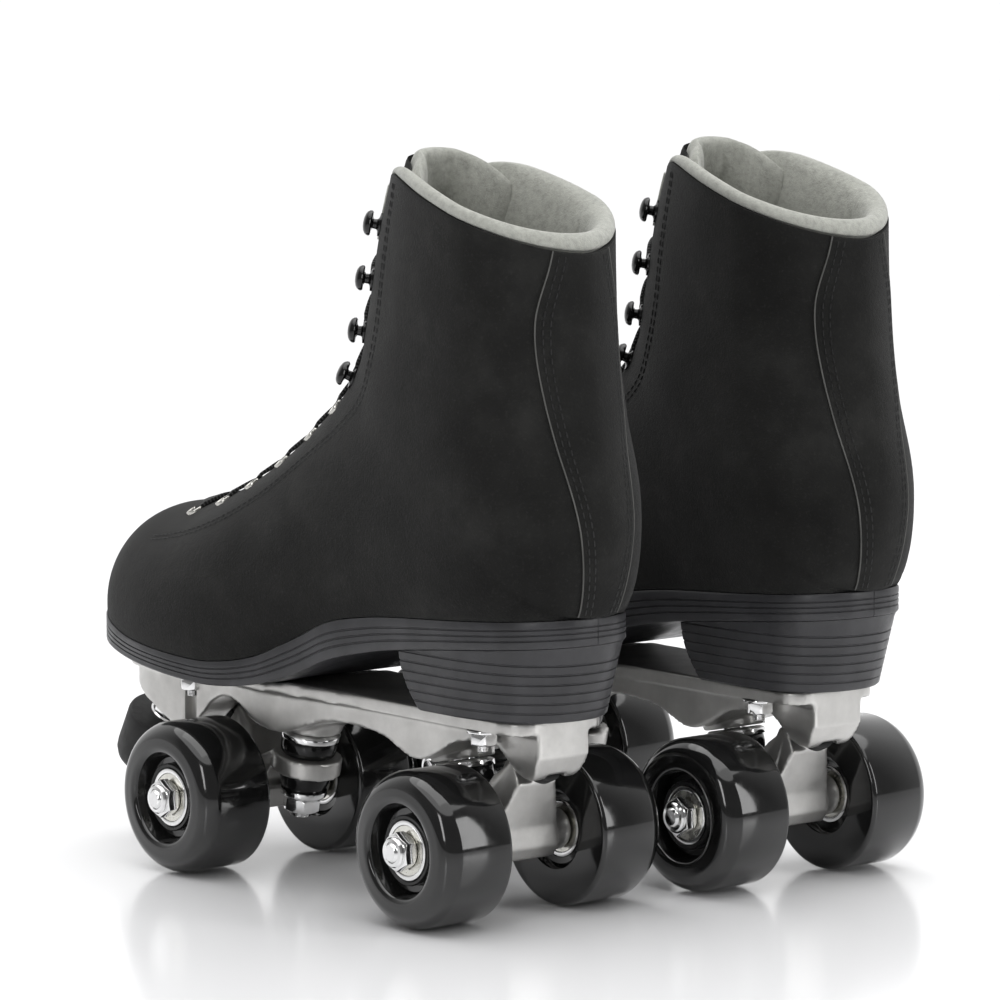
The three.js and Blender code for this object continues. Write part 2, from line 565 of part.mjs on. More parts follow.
function axleNut() {
  const at = NUT_AT - WHEEL_INNER_FACE;
  const across = AXLE_NUT_ACROSS / 2 / Math.cos(Math.PI / 6);
  const hex = round(across, at, at + AXLE_NUT_HEIGHT, 6);
  return hex.subtract(round(AXLE_RADIUS + GAP, at - 1, at + AXLE_NUT_HEIGHT + 1, 12));
}

// ---- Toe stop ----

const stopSeat = [STOP_X, chinHeight(STOP_X)];
const STOP_TOP = GAP + STOP_NUT_HEIGHT + STOP_NECK;

function toeStop() {
  const r = STOP_RADIUS;
  const end = STOP_TOP + STOP_HEIGHT;
  const profile = [[0, -14], [STOP_STEM_RADIUS, -14], [STOP_STEM_RADIUS, STOP_TOP - 2.4],
    [11, STOP_TOP - 2.4], [11, STOP_TOP], [r - 1.2, STOP_TOP], [r - 0.4, STOP_TOP + 1], [r + 0.5, end - 6],
    [r - 1, end - 2.4], [r - 4.5, end - 0.6], [0, end]];
  return aim(turned(profile, 20), stopSeat, stopAxis);
}

function toeStopNut() {
  const nut = round(STOP_NUT_ACROSS / 2 / Math.cos(Math.PI / 6), GAP, GAP + STOP_NUT_HEIGHT, 6);
  return aim(nut.subtract(round(STOP_STEM_RADIUS + GAP, -1, STOP_NUT_HEIGHT + 2, 16)), stopSeat, stopAxis);
}

// ---- Assembly ----

function paint(color, roughness, metalness) {
  return new THREE.MeshStandardMaterial({ color, roughness, metalness });
}

const SUEDE = paint(0x151515, 0.95, 0);
const LINING = paint(0x9a9b94, 0.9, 0);
const LACE = paint(0x1c1c1c, 0.8, 0);
const SOLE_RUBBER = paint(0x3a3a3c, 0.55, 0);
const ALLOY = paint(0xa9a8a4, 0.4, 0.6);
const STEEL = paint(0xd4d4d4, 0.2, 1);
const URETHANE = paint(0x0a0a0a, 0.12, 0);
const STOP_RUBBER = paint(0x222222, 0.8, 0);

function skate(side) {
  const group = new THREE.Group();
  const add = (parent, name, made, material) => {
    const mesh = new THREE.Mesh(geometryOf(made), material);
    mesh.name = `${side}_${name}`;
    parent.add(mesh);
  };
  add(group, "boot_upper", upper(), SUEDE);
  add(group, "boot_lining", lining(), LINING);
  add(group, "tongue", tongue(), SUEDE);
  add(group, "insole", insole(), LINING);
  add(group, "lace", lace(), LACE);
  add(group, "outsole", outsole(), SOLE_RUBBER);
  add(group, "heel", heel(), SOLE_RUBBER);
  add(group, "plate", plate(), ALLOY);
  add(group, "toe_stop", toeStop(), STOP_RUBBER);
  add(group, "toe_stop_nut", toeStopNut(), STEEL);
  for (const end of ["front", "rear"]) {
    const truck = new THREE.Group();
    truck.rotation.z = end === "rear" ? Math.PI : 0;
    add(truck, `${end}_hanger`, hanger(), ALLOY);
    add(truck, `${end}_kingpin`, kingpin(), STEEL);
    add(truck, `${end}_upper_cushion`, upperCushion(), URETHANE);
    add(truck, `${end}_lower_cushion`, lowerCushion(), URETHANE);
    group.add(truck);
    for (const edge of ["outer", "inner"]) {
      const corner = new THREE.Group();
      const out = edge === "outer" ? 1 : -1;
      corner.position.set(end === "front" ? AXLE_X : -AXLE_X, out * WHEEL_INNER_FACE, WHEEL_RADIUS);
      corner.rotation.z = out < 0 ? Math.PI : 0;
      add(corner, `${end}_${edge}_wheel`, wheel(), URETHANE);
      add(corner, `${end}_${edge}_bearings`, bearings(), STEEL);
      add(corner, `${end}_${edge}_axle_nut`, axleNut(), STEEL);
      group.add(corner);
    }
  }
  return group;
}

const pair = new THREE.Group();
const left = skate("left");
const right = skate("right");
left.position.set(0, SKATE_SPACING / 2, 0);
right.position.set(-RIGHT_SETBACK, -SKATE_SPACING / 2, 0);
right.scale.y = -1;
pair.add(left, right);

// Centres the pair over the origin.
const extent = new THREE.Box3().setFromObject(pair, true);
const middle = extent.getCenter(new THREE.Vector3());
pair.position.set(-middle.x, -middle.y, 0);

export default pair;
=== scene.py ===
"""Quad roller skates: the looks of the pair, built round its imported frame.

Every piece is modelled once for the left skate, about the middle of its wheelbase on the floor, with +X to the
toe and +Y to the outer side. Copies of it then stand at both skates, the right one mirrored.
"""
import math

import bpy
from bpy.props import FloatProperty, FloatVectorProperty, PointerProperty
from mathutils import Matrix, Vector


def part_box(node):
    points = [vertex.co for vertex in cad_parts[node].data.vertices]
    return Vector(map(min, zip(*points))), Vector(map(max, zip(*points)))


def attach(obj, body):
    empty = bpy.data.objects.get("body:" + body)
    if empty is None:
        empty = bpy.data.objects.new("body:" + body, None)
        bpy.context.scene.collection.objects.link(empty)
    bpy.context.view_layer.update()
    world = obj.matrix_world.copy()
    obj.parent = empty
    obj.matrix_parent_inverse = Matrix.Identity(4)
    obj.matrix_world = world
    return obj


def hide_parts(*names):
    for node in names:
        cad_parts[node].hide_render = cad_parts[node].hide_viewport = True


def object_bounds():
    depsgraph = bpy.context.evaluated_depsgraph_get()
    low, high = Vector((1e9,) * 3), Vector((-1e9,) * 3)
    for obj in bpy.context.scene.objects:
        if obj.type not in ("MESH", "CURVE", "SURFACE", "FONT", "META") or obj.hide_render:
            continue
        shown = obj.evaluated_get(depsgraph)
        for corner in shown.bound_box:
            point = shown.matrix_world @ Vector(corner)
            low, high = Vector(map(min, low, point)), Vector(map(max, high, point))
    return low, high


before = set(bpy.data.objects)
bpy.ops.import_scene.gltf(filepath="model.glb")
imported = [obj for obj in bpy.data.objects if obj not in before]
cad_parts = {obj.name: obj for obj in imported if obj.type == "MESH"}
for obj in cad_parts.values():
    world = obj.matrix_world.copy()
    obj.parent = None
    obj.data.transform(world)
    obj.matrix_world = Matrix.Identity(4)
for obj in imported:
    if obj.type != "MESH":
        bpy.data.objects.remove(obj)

bl_info = {
    "name": "Quad Roller Skates",
    "version": (1, 0, 0),
    "blender": (4, 5, 0),
    "location": "View3D > Sidebar > Skates",
    "description": "Builds a pair of lace-up quad roller skates round their frame",
    "category": "Add Mesh",
}

MM = 0.001
CAD_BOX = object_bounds()
SIDES = ("left", "right")
ENDS = ("front", "rear")
EDGES = ("outer", "inner")

# ---- Sizes of the chassis, in millimetres about one skate ----

WHEELBASE = 143
WHEEL_RADIUS = 29
WHEEL_INNER_FACE = 21.5
WHEEL_WIDTH = 31
BEARING_INSET = 2.9
BEARING_WIDTH = 7
BEARING_SPACER = 10
BEARING_END = BEARING_INSET + 2 * BEARING_WIDTH + BEARING_SPACER
AXLE_X = WHEELBASE / 2
RING_CENTRE = (AXLE_X - 23, 40.5)
PIVOT = (AXLE_X + 23, 60)
KINGPIN_TILT = 12
RING_HALF = 3.5
CUSHION = 7.5
WASHER = 2
STACK = RING_HALF + 0.3
WASHER_AT = STACK + CUSHION + 0.3
BOSS_AT = WASHER_AT + WASHER + 0.3
STOP_TILT = 24
STOP_SEAT = (125.8, 50.3 + (125.8 - 105.2) * math.tan(math.radians(STOP_TILT)))
STOP_TOP = 12.7
STOP_HEIGHT = 22.5
PLATE_REAR = -102.8
PLATE_TOP = 76.1
FLANGE_BOTTOM = 71
FLANGE_FRONT_HALF, FLANGE_REAR_HALF = 26, 22.5
FLANGE_LIP = 3.5
REAR_BLOCK_HALF = 12
REAR_BLOCK_FRONT = -72
HOLLOW = (-33, 28)
HOLLOW_HALF = 15.5
BOLTS = ((93.5, 20.5), (93.5, -20.5), (-78, 17.5), (-78, -17.5))
BOLT_NOTCH = (90, 97)
BOLT_NOTCH_IN = 17
ARM_HALF, WEB_HALF = 10, 17
FAR = 60  # past the plate's sides
PLATE_UNDERSIDE = (
    (-102.8, 62), (-97.5, 53.8), (-90, 54.6), (-85, 59.7), (-75.8, 65.4), (-64, 64.6), (-54, 59.5), (-44, 55.6),
    (-36, 56), (-20.7, 61.7), (-1, 63.4), (12, 62.5), (25, 59), (36, 55.8), (44, 55.6), (54, 58), (61, 62.7),
    (70, 65.4), (79, 62.5), (86, 56.4), (95, 50.9), (105.2, 50.3),
)

# ---- Sizes of the boot, in millimetres ----

# Girths from toe to top: where each crosses the instep and the sole or heel line, as x and z, and its half
# widths on the outer and inner side of the foot.
GIRTHS = (
    ((151.5, 110), (151.5, 88), 7, 7),
    ((150.3, 114.5), (150.3, 84), 17, 17),
    ((146.5, 120.7), (146.5, 80), 26, 26),
    ((139, 128.3), (139, 77), 34, 34),
    ((125, 133.8), (125, 74), 41, 41),
    ((104, 137), (104, 71), 46, 45),
    ((80, 143.3), (79, 69), 48, 46),
    ((58, 153.2), (52, 69), 47, 44),
    ((38, 165.5), (26, 74), 43, 39),
    ((20, 179.5), (-6, 88), 39, 35),
    ((7, 193), (-45, 95), 37, 34),
    ((-0.5, 207), (-92, 99), 38, 36),
    ((-3, 221), (-119, 112), 39, 38),
    ((-5.5, 235), (-129, 143), 38, 37.5),
    ((-8.5, 250), (-123.5, 175), 36, 36),
    ((-12.5, 262.5), (-118.5, 203), 35, 35),
    ((-17, 273), (-116, 232), 35, 35),
    ((-21, 284), (-114, 258), 36, 36),
)
TOE_SWING = 6
PLATE_FRONT = 139.3
WALL_SHARE = 0.36
FOOT_BOXINESS = 2.8
SHAFT_BOXINESS = 1.7
THROAT_GIRTH = 4.8
THROAT_ROUND = 0.7  # girths over which the throat's foot rounds out
THROAT_HALF = 13
EYELET_ROWS = [5.4 + 0.84 * i for i in range(6)]
HOOK_ROWS = [10.5 + 1.3 * i for i in range(4)]
EYELET_AT = 1 - 26 / 90  # how far up from the widest line to the ridge the eyelets sit
STITCH_AT = 1 - 47 / 90
UPPER_THICKNESS = 2.2
SOLE_TOP = (
    (152, 95.3), (139, 91.2), (109, 85.7), (70, 82.9), (50, 83.3), (30, 87.2), (11, 95.1), (-9, 104),
    (-29, 107.9), (-48, 109.9), (-85, 112.5), (-126, 115.3),
)
SOLE_BOTTOM = (
    (154, 86.2), (139, 81.4), (109, 77.6), (70, 74.5), (50, 74.1), (30, 76.6), (11, 82.3), (-9, 90.2),
    (-29, 95), (-47, 98), (-80, 101.8), (-126, 105.6),
)
COLLAR = (
    (-125, 242.4), (-114.2, 245.7), (-87.6, 256), (-60, 264.8), (-42.4, 269.6), (-31, 270.6), (-21, 266),
    (-15.5, 257), (-14.5, 246),
)
BACKSTAY_LIFT = 0.75
BACKSTAY = ((250, 12), (240, 14), (217, 19), (188, 18), (158, 14), (117, 9))  # height, half width
PAD_PRESSURE = 4.0
TONGUE_HALF = 20
TONGUE_TOP = ((-48, 268), (-31, 277.6), (-21, 281.2), (-15, 280.6), (-8, 277))
SOLE_MARGIN = 0.6
HEEL_BOTTOM = 76.4
HEEL_TOP = 105.5
HEEL_LAYERS = 7
HEEL_MIDDLE = -84  # the heel narrows towards here
HEEL_FOOT_BACK = -112


# ---- Where things stand ----

class Stand:
    """Where one skate stands, found from its wheels in the frame."""

    def __init__(self, side):
        boxes = [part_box(f"{side}_{end}_{edge}_wheel") for end in ENDS for edge in EDGES]
        low = Vector(map(min, *[b[0] for b in boxes]))
        high = Vector(map(max, *[b[1] for b in boxes]))
        turned = 1 if side == "left" else -1
        self.matrix = Matrix.Translation(((low.x + high.x) / 2, (low.y + high.y) / 2, 0))
        self.matrix = self.matrix @ Matrix.Diagonal((1, turned, 1, 1))


STANDS = {side: Stand(side) for side in SIDES}
HALF_TURN = Matrix.Rotation(math.pi, 4, "Z")


def truck_matrix(side, end):
    return STANDS[side].matrix @ (HALF_TURN if end == "rear" else Matrix())


def wheel_matrix(side, end, edge):
    """Frame of a wheel about its axle, with +Y out from the wheel's inner face."""
    out = 1 if edge == "outer" else -1
    along = AXLE_X if end == "front" else -AXLE_X
    place = Matrix.Translation(Vector((along, out * WHEEL_INNER_FACE, WHEEL_RADIUS)) * MM)
    return STANDS[side].matrix @ place @ (Matrix() if out > 0 else HALF_TURN)


def aim(place, direction):
    """Stands a body made about Y along a direction in the XZ plane, with its own origin at [x, z]."""
    turn = math.atan2(direction[0], direction[1])
    lift = Matrix.Rotation(turn, 4, "Y") @ Matrix.Rotation(math.pi / 2, 4, "X")
    return Matrix.Translation((place[0] * MM, 0, place[1] * MM)) @ lift


KINGPIN_AXIS = (-math.sin(math.radians(KINGPIN_TILT)), math.cos(math.radians(KINGPIN_TILT)))
STOP_AXIS = (math.sin(math.radians(STOP_TILT)), -math.cos(math.radians(STOP_TILT)))
STEER = Vector((PIVOT[0] - RING_CENTRE[0], PIVOT[1] - RING_CENTRE[1])).normalized()
KINGPIN = aim(RING_CENTRE, KINGPIN_AXIS)
STOP = aim(STOP_SEAT, STOP_AXIS)
NOSE = aim(PIVOT, STEER)


# ---- Modelling tools ----

def deselect():
    if bpy.context.object and bpy.context.object.mode != "OBJECT":
        bpy.ops.object.mode_set(mode="OBJECT")
    bpy.ops.object.select_all(action="DESELECT")


def select(piece):
    deselect()
    piece.select_set(True)
    bpy.context.view_layer.objects.active = piece


def mesh_piece(name, points, faces, edges=()):
    """A new mesh object from points in millimetres."""
    mesh = bpy.data.meshes.new(name)
    mesh.from_pydata([Vector(p) * MM for p in points], list(edges), faces)
    piece = bpy.data.objects.new(name, mesh)
    bpy.context.scene.collection.objects.link(piece)
    select(piece)
    return piece


def clean(piece, distance=0.00001):
    """Merges doubles and points the faces outwards."""
    select(piece)
    bpy.ops.object.mode_set(mode="EDIT")
    bpy.ops.mesh.select_all(action="SELECT")
    bpy.ops.mesh.remove_doubles(threshold=distance)
    bpy.ops.mesh.normals_make_consistent(inside=False)
    bpy.ops.object.mode_set(mode="OBJECT")


def modify(piece, kind, **values):
    """Adds a modifier and applies it."""
    select(piece)
    modifier = piece.modifiers.new(kind, kind)
    for key, value in values.items():
        setattr(modifier, key, value)
    bpy.ops.object.modifier_apply(modifier=modifier.name)


def bevel(piece, width, segments=2, angle=30):
    modify(piece, "BEVEL", width=width * MM, segments=segments, limit_method="ANGLE",
           angle_limit=math.radians(angle), harden_normals=False)


def smooth(piece, angle=35):
    select(piece)
    bpy.ops.object.shade_smooth_by_angle(angle=math.radians(angle))


def turned(name, profile, steps=64, ring=False, edge=0.0, segments=2):
    """A body of revolution about Y, spun from (radius, height) points in millimetres."""
    count = len(profile)
    edges = [(i, (i + 1) % count) for i in range(count if ring else count - 1)]
    piece = mesh_piece(name, [(r, y, 0) for r, y in profile], [], edges)
    bpy.ops.object.mode_set(mode="EDIT")
    bpy.ops.mesh.select_all(action="SELECT")
    bpy.ops.mesh.spin(steps=steps, angle=2 * math.pi, center=(0, 0, 0), axis=(0, 1, 0))
    bpy.ops.object.mode_set(mode="OBJECT")
    clean(piece)
    if edge:
        bevel(piece, edge, segments)
    smooth(piece)
    return piece


def drum(name, radius, low, high, sides=64, edge=0.0):
    """A straight cylinder or prism about Y."""
    deselect()
    bpy.ops.mesh.primitive_cylinder_add(
        vertices=sides, radius=radius * MM, depth=(high - low) * MM, location=(0, (low + high) / 2 * MM, 0),
        rotation=(math.pi / 2, 0, 0))
    piece = bpy.context.object
    piece.name = piece.data.name = name
    bpy.ops.object.transform_apply(location=True, rotation=True, scale=True)
    if edge:
        bevel(piece, edge)
    return piece


def prism(name, outline, low, high, axis):
    """A prism with an outline in millimetres, from low to high along an axis."""
    count = len(outline)
    points = []
    for along in (low, high):
        for point in outline:
            point = list(point)
            point.insert(axis, along)
            points.append(point)
    faces = [list(range(count)), list(range(2 * count - 1, count - 1, -1))]
    faces += [(i, (i + 1) % count, (i + 1) % count + count, i + count) for i in range(count)]
    piece = mesh_piece(name, points, faces)
    clean(piece)
    return piece


def eased(outline, radius, steps=5):
    """A closed outline with its corners rounded off."""
    result = []
    for i, corner in enumerate(outline):
        corner, before = Vector(corner), Vector(outline[i - 1])
        after = Vector(outline[(i + 1) % len(outline)])
        start = corner + (before - corner).normalized() * min(radius, (before - corner).length / 2)
        end = corner + (after - corner).normalized() * min(radius, (after - corner).length / 2)
        for k in range(steps + 1):
            t = k / steps
            result.append(tuple(start.lerp(corner, t).lerp(corner.lerp(end, t), t)))
    return result


def hexagon(name, across, low, high, bore=0.0, chamfer=0.9):
    """A hexagon nut about Y with its corners turned down at both ends."""
    piece = drum(name, across / 2 / math.cos(math.pi / 6), low, high, 6)
    inner = across / 2 * 0.97
    corner = across / 2 / math.cos(math.pi / 6) + 0.2
    dome = turned("dome", [(0, low), (inner, low), (corner, low + chamfer), (corner, high - chamfer),
                           (inner, high), (0, high)], 48)
    cut(piece, dome, "INTERSECT")
    if bore:
        cut(piece, drum("bore", bore, low - 1, high + 1, 32), "DIFFERENCE")
    bevel(piece, 0.12, 2, 25)
    smooth(piece, 30)
    return piece


def thread_ridges(start, turns, radius, pitch):
    """A profile of fine ridges up a turned rod from a height."""
    ridges = []
    for i in range(turns):
        ridges += [(radius, start + i * pitch), (radius - 0.22, start + (i + 0.5) * pitch)]
    return ridges


def cut(piece, tool, operation):
    """Cuts a piece with a tool, or joins it on, and removes the tool."""
    modify(piece, "BOOLEAN", object=tool, operation=operation, solver="EXACT")
    bpy.data.objects.remove(tool)


def join(name, pieces):
    deselect()
    for piece in pieces:
        piece.select_set(True)
    bpy.context.view_layer.objects.active = pieces[0]
    bpy.ops.object.join()
    joined = bpy.context.object
    joined.name = joined.data.name = name
    return joined


def grid(name, rows, closed=False, cap=False):
    """A sheet of quads through rows of points in millimetres; closed joins each row's ends."""
    width = len(rows[0])
    across = width if closed else width - 1
    faces = []
    for i in range(len(rows) - 1):
        for j in range(across):
            a, b = i * width + j, i * width + (j + 1) % width
            faces.append((a, b, b + width, a + width))
    if cap:
        faces.append(list(range(width))[::-1])
        faces.append([(len(rows) - 1) * width + j for j in range(width)])
    return mesh_piece(name, [p for row in rows for p in row], faces)


def stand(model, name, matrix, body, material=None, nodes=()):
    """Stands a copy of a model in the frame and hands it to the body that it rides on."""
    mesh = model.data.copy()
    mesh.name = name
    mesh.transform(matrix)
    if matrix.determinant() < 0:
        mesh.flip_normals()
    piece = bpy.data.objects.new(name, mesh)
    bpy.context.scene.collection.objects.link(piece)
    if material:
        mesh.materials.clear()
        mesh.materials.append(material)
    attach(piece, body)
    if nodes:
        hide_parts(*nodes)
    return piece


def discard(*models):
    for model in models:
        bpy.data.objects.remove(model)


def copied(model, matrix):
    """A copy of a model with a mesh of its own, moved by a matrix."""
    copy = model.copy()
    copy.data = model.data.copy()
    copy.data.transform(matrix)
    bpy.context.scene.collection.objects.link(copy)
    return copy


def on_boots(model, material, node=None):
    """Stands a boot's piece at both skates."""
    for side in SIDES:
        nodes = (f"{side}_{node}",) if node else ()
        name = f"{side}_{model.name}"
        stand(model, name, STANDS[side].matrix, f"{side}_boot", material, nodes)
    discard(model)


def on_trucks(model, material, body="truck", node=None, local=None):
    """Stands a truck's piece at all four trucks."""
    for side in SIDES:
        for end in ENDS:
            rides = f"{side}_boot" if body == "boot" else f"{side}_{end}_truck"
            nodes = (f"{side}_{end}_{node}",) if node else ()
            matrix = truck_matrix(side, end) @ (local or Matrix())
            stand(model, f"{side}_{end}_{model.name}", matrix, rides, material, nodes)
    discard(model)


def on_wheels(model, material, body="wheel", node=None):
    """Stands a wheel's piece at all eight wheels."""
    for side in SIDES:
        for end in ENDS:
            for edge in EDGES:
                corner = f"{side}_{end}_{edge}"
                rides = f"{corner}_wheel" if body == "wheel" else f"{side}_{end}_truck"
                nodes = (f"{corner}_{node}",) if node else ()
                stand(model, f"{corner}_{model.name}", wheel_matrix(side, end, edge), rides, material,
                      nodes)
    discard(model)


# ---- Shape of the boot ----

def lerp(a, b, share):
    return a + (b - a) * share


def step(value, low, high):
    share = min(max((value - low) / (high - low), 0), 1)
    return share * share * (3 - 2 * share)


def height_of(line, x):
    """Height of a line of (x, z) points at x, whichever way the line runs."""
    points = line if line[0][0] < line[-1][0] else line[::-1]
    if x <= points[0][0]:
        return points[0][1]
    for (x0, z0), (x1, z1) in zip(points, points[1:]):
        if x <= x1:
            return lerp(z0, z1, (x - x0) / (x1 - x0))
    return points[-1][1]


def rounded(line, steps):
    """A smooth curve through (x, z) points."""
    return [curve_at(line, i / steps * (len(line) - 1)) for i in range(steps + 1)]


def curve_at(points, at):
    """Point of a Catmull-Rom curve, its ends carried on straight."""
    at = min(max(at, 0), len(points) - 1)
    i = min(int(at), len(points) - 2)
    t = at - i
    b, c = points[i], points[i + 1]
    a = points[i - 1] if i else [2 * p - q for p, q in zip(b, c)]
    d = points[i + 2] if i + 2 < len(points) else [2 * q - p for p, q in zip(b, c)]
    result = []
    for w, x, y, z in zip(a, b, c, d):
        t0, t1 = (y - w) / 2, (z - x) / 2
        result.append(x + t0 * t + (3 * (y - x) - 2 * t0 - t1) * t * t + (2 * (x - y) + t0 + t1) * t ** 3)
    return result


GIRTH_LINES = [(*top, *base, outer, inner) for top, base, outer, inner in GIRTHS]
sole_top = rounded(SOLE_TOP, 80)
sole_bottom = rounded(SOLE_BOTTOM, 80)
collar_line = rounded(COLLAR, 60)
backstay_edge = rounded(BACKSTAY, 40)


def boxiness(girth):
    return lerp(FOOT_BOXINESS, SHAFT_BOXINESS, step(girth, 10, 14))


def toe_swing(x):
    return TOE_SWING * (max(0, x) / PLATE_FRONT) ** 2


def boot(girth, up, side, inset=0.0):
    """Point of the boot in millimetres. Up runs from -1, the sole or back, by 0, the widest line, to 1, the
    ridge; side is 1 on the outer side and -1 on the inner."""
    tx, tz, bx, bz, outer, inner = curve_at(GIRTH_LINES, girth)
    if girth > len(GIRTHS) - 1:
        last, before = GIRTH_LINES[-1], curve_at(GIRTH_LINES, len(GIRTHS) - 1.02)
        more = (girth - (len(GIRTHS) - 1)) / 0.02
        tx, tz, bx, bz, outer, inner = [q + (q - p) * more for p, q in zip(before, last)]
    length = math.hypot(tx - bx, tz - bz)
    if up >= 0:
        turn = up * math.pi / 2
        share = WALL_SHARE + (1 - WALL_SHARE) * math.sin(turn)
        bulge = math.cos(turn)
    else:
        down = math.sin(-up * math.pi / 2)
        power = boxiness(girth)
        share = WALL_SHARE * (1 - down)
        bulge = max(0.0, 1 - down ** power) ** (1 / power)
    reach = inset / length + share * (1 - 2 * inset / length)
    half = max((outer if side > 0 else inner) - inset, 0.5)
    x = bx + (tx - bx) * reach - inset * max(0, 1 - girth / 3)
    z = bz + (tz - bz) * reach
    return Vector((x, side * half * bulge - toe_swing(x), z))


def half_width(girth, side, inset=0.0):
    line = curve_at(GIRTH_LINES, girth)
    return line[4 if side > 0 else 5] - inset


def seek(rises, low, high, rounds=26):
    """Where a rising value passes zero between low and high."""
    for _ in range(rounds):
        middle = (low + high) / 2
        if rises(middle) > 0:
            high = middle
        else:
            low = middle
    return (low + high) / 2


def above_sole(point, lift=0.0):
    return point.z - height_of(sole_top, point.x) - lift


def sole_up(girth, side, inset=0.0, lift=0.0):
    """How far up a girth crosses the top of the sole; -1 where it stays above it."""
    if above_sole(boot(girth, -1, side, inset), lift) > 0:
        return -1
    return seek(lambda up: above_sole(boot(girth, up, side, inset), lift), -1, 0.2)


HEEL_GIRTH = seek(lambda g: above_sole(boot(g, -1, 1)), 11, 13)


def throat_up(girth, side, half=THROAT_HALF, start=THROAT_GIRTH):
    """How far up a girth reaches before the throat's edge; 1 where the throat is closed."""
    if girth <= start:
        return 1
    share = min((girth - start) / THROAT_ROUND, 1)
    gap = half * math.sqrt(1 - (1 - share) ** 2)
    return math.acos(gap / half_width(girth, side)) / (math.pi / 2)


def collar_girth(up_of, side, inset=0.0, rise=0.0):
    """The girth at which a column, with its way up given as a function of girth, meets the collar."""
    def over(girth):
        point = boot(girth, up_of(girth), side, inset)
        return point.z - height_of(collar_line, point.x) - rise
    return seek(over, 13, 18.5)


def shell_rows(inset=0.0, rise=0.0, columns=40, pitch=0.12, shaft_rows=44, lift=0.3, throat=THROAT_HALF):
    """Rows of one side of the boot from the toe to the collar, each from the sole up to the ridge or the
    throat's edge. Both sides' rows meet at the ridge and, above the heel, at the back."""
    start = 0.0 if inset < 1 else 0.35
    opened = THROAT_GIRTH + THROAT_ROUND
    steps = int((THROAT_GIRTH - start) / pitch)
    foot = [lerp(start, THROAT_GIRTH, i / steps) for i in range(steps + 1)]
    foot += [THROAT_GIRTH + THROAT_ROUND * (i / 10) ** 2 for i in range(1, 10)]
    steps = int((HEEL_GIRTH - opened) / pitch)
    foot += [lerp(opened, HEEL_GIRTH, i / steps) for i in range(steps)]
    sides = []
    for side in (1, -1):
        rows = []
        for girth in foot:
            low = sole_up(girth, side, inset, lift)
            high = throat_up(girth, side, throat)
            rows.append([boot(girth, lerp(low, high, j / columns), side, inset) for j in range(columns + 1)])
        tops = []
        for j in range(columns + 1):
            def up_of(girth, share=j / columns):
                return lerp(-1, throat_up(girth, side, throat), share)
            tops.append((up_of, collar_girth(up_of, side, inset, rise)))
        for k in range(shaft_rows + 1):
            row = []
            for up_of, top in tops:
                girth = lerp(HEEL_GIRTH, top, k / shaft_rows)
                row.append(boot(girth, up_of(girth), side, inset))
            rows.append(row)
        sides.append(rows)
    return sides


def toe_cap(rows, bulge=1.4, rounds=4):
    """Rows that close the toe in front of the first row of the boot."""
    foot = rows[0][0]
    middle = Vector((foot.x, -toe_swing(foot.x), foot.z))
    caps = []
    for i in range(rounds):
        share = i / rounds
        rise = Vector((bulge * math.sqrt(1 - share * share), 0, 0))
        caps.append([middle + (p - middle) * share + rise for p in rows[0]])
    return caps


def boot_shell(name, inset, thickness, **ways):
    """The boot's wall on both sides as one sheet, thickened inwards."""
    outer, inner = shell_rows(inset, **ways)
    sheets = [grid("half", toe_cap(rows) + rows) for rows in (outer, inner)]
    piece = join(name, sheets)
    clean(piece, 0.00002)
    modify(piece, "SOLIDIFY", thickness=thickness * MM, offset=-1, use_even_offset=False)
    return piece


def normal_at(girth, up, side, inset=0.0):
    """Outward normal of the boot and the direction up the girth, towards the ridge."""
    d = 0.01
    along = boot(girth + d, up, side, inset) - boot(girth - d, up, side, inset)
    upward = boot(girth, up + d, side, inset) - boot(girth, up - d, side, inset)
    normal = along.cross(upward).normalized() * side
    centre = boot(girth, 1, side, 0) * 0.5 + boot(girth, -1, side, 0) * 0.5
    if normal.dot(boot(girth, up, side) - centre) < 0:
        normal.negate()
    return normal, upward.normalized()


# ---- Materials ----

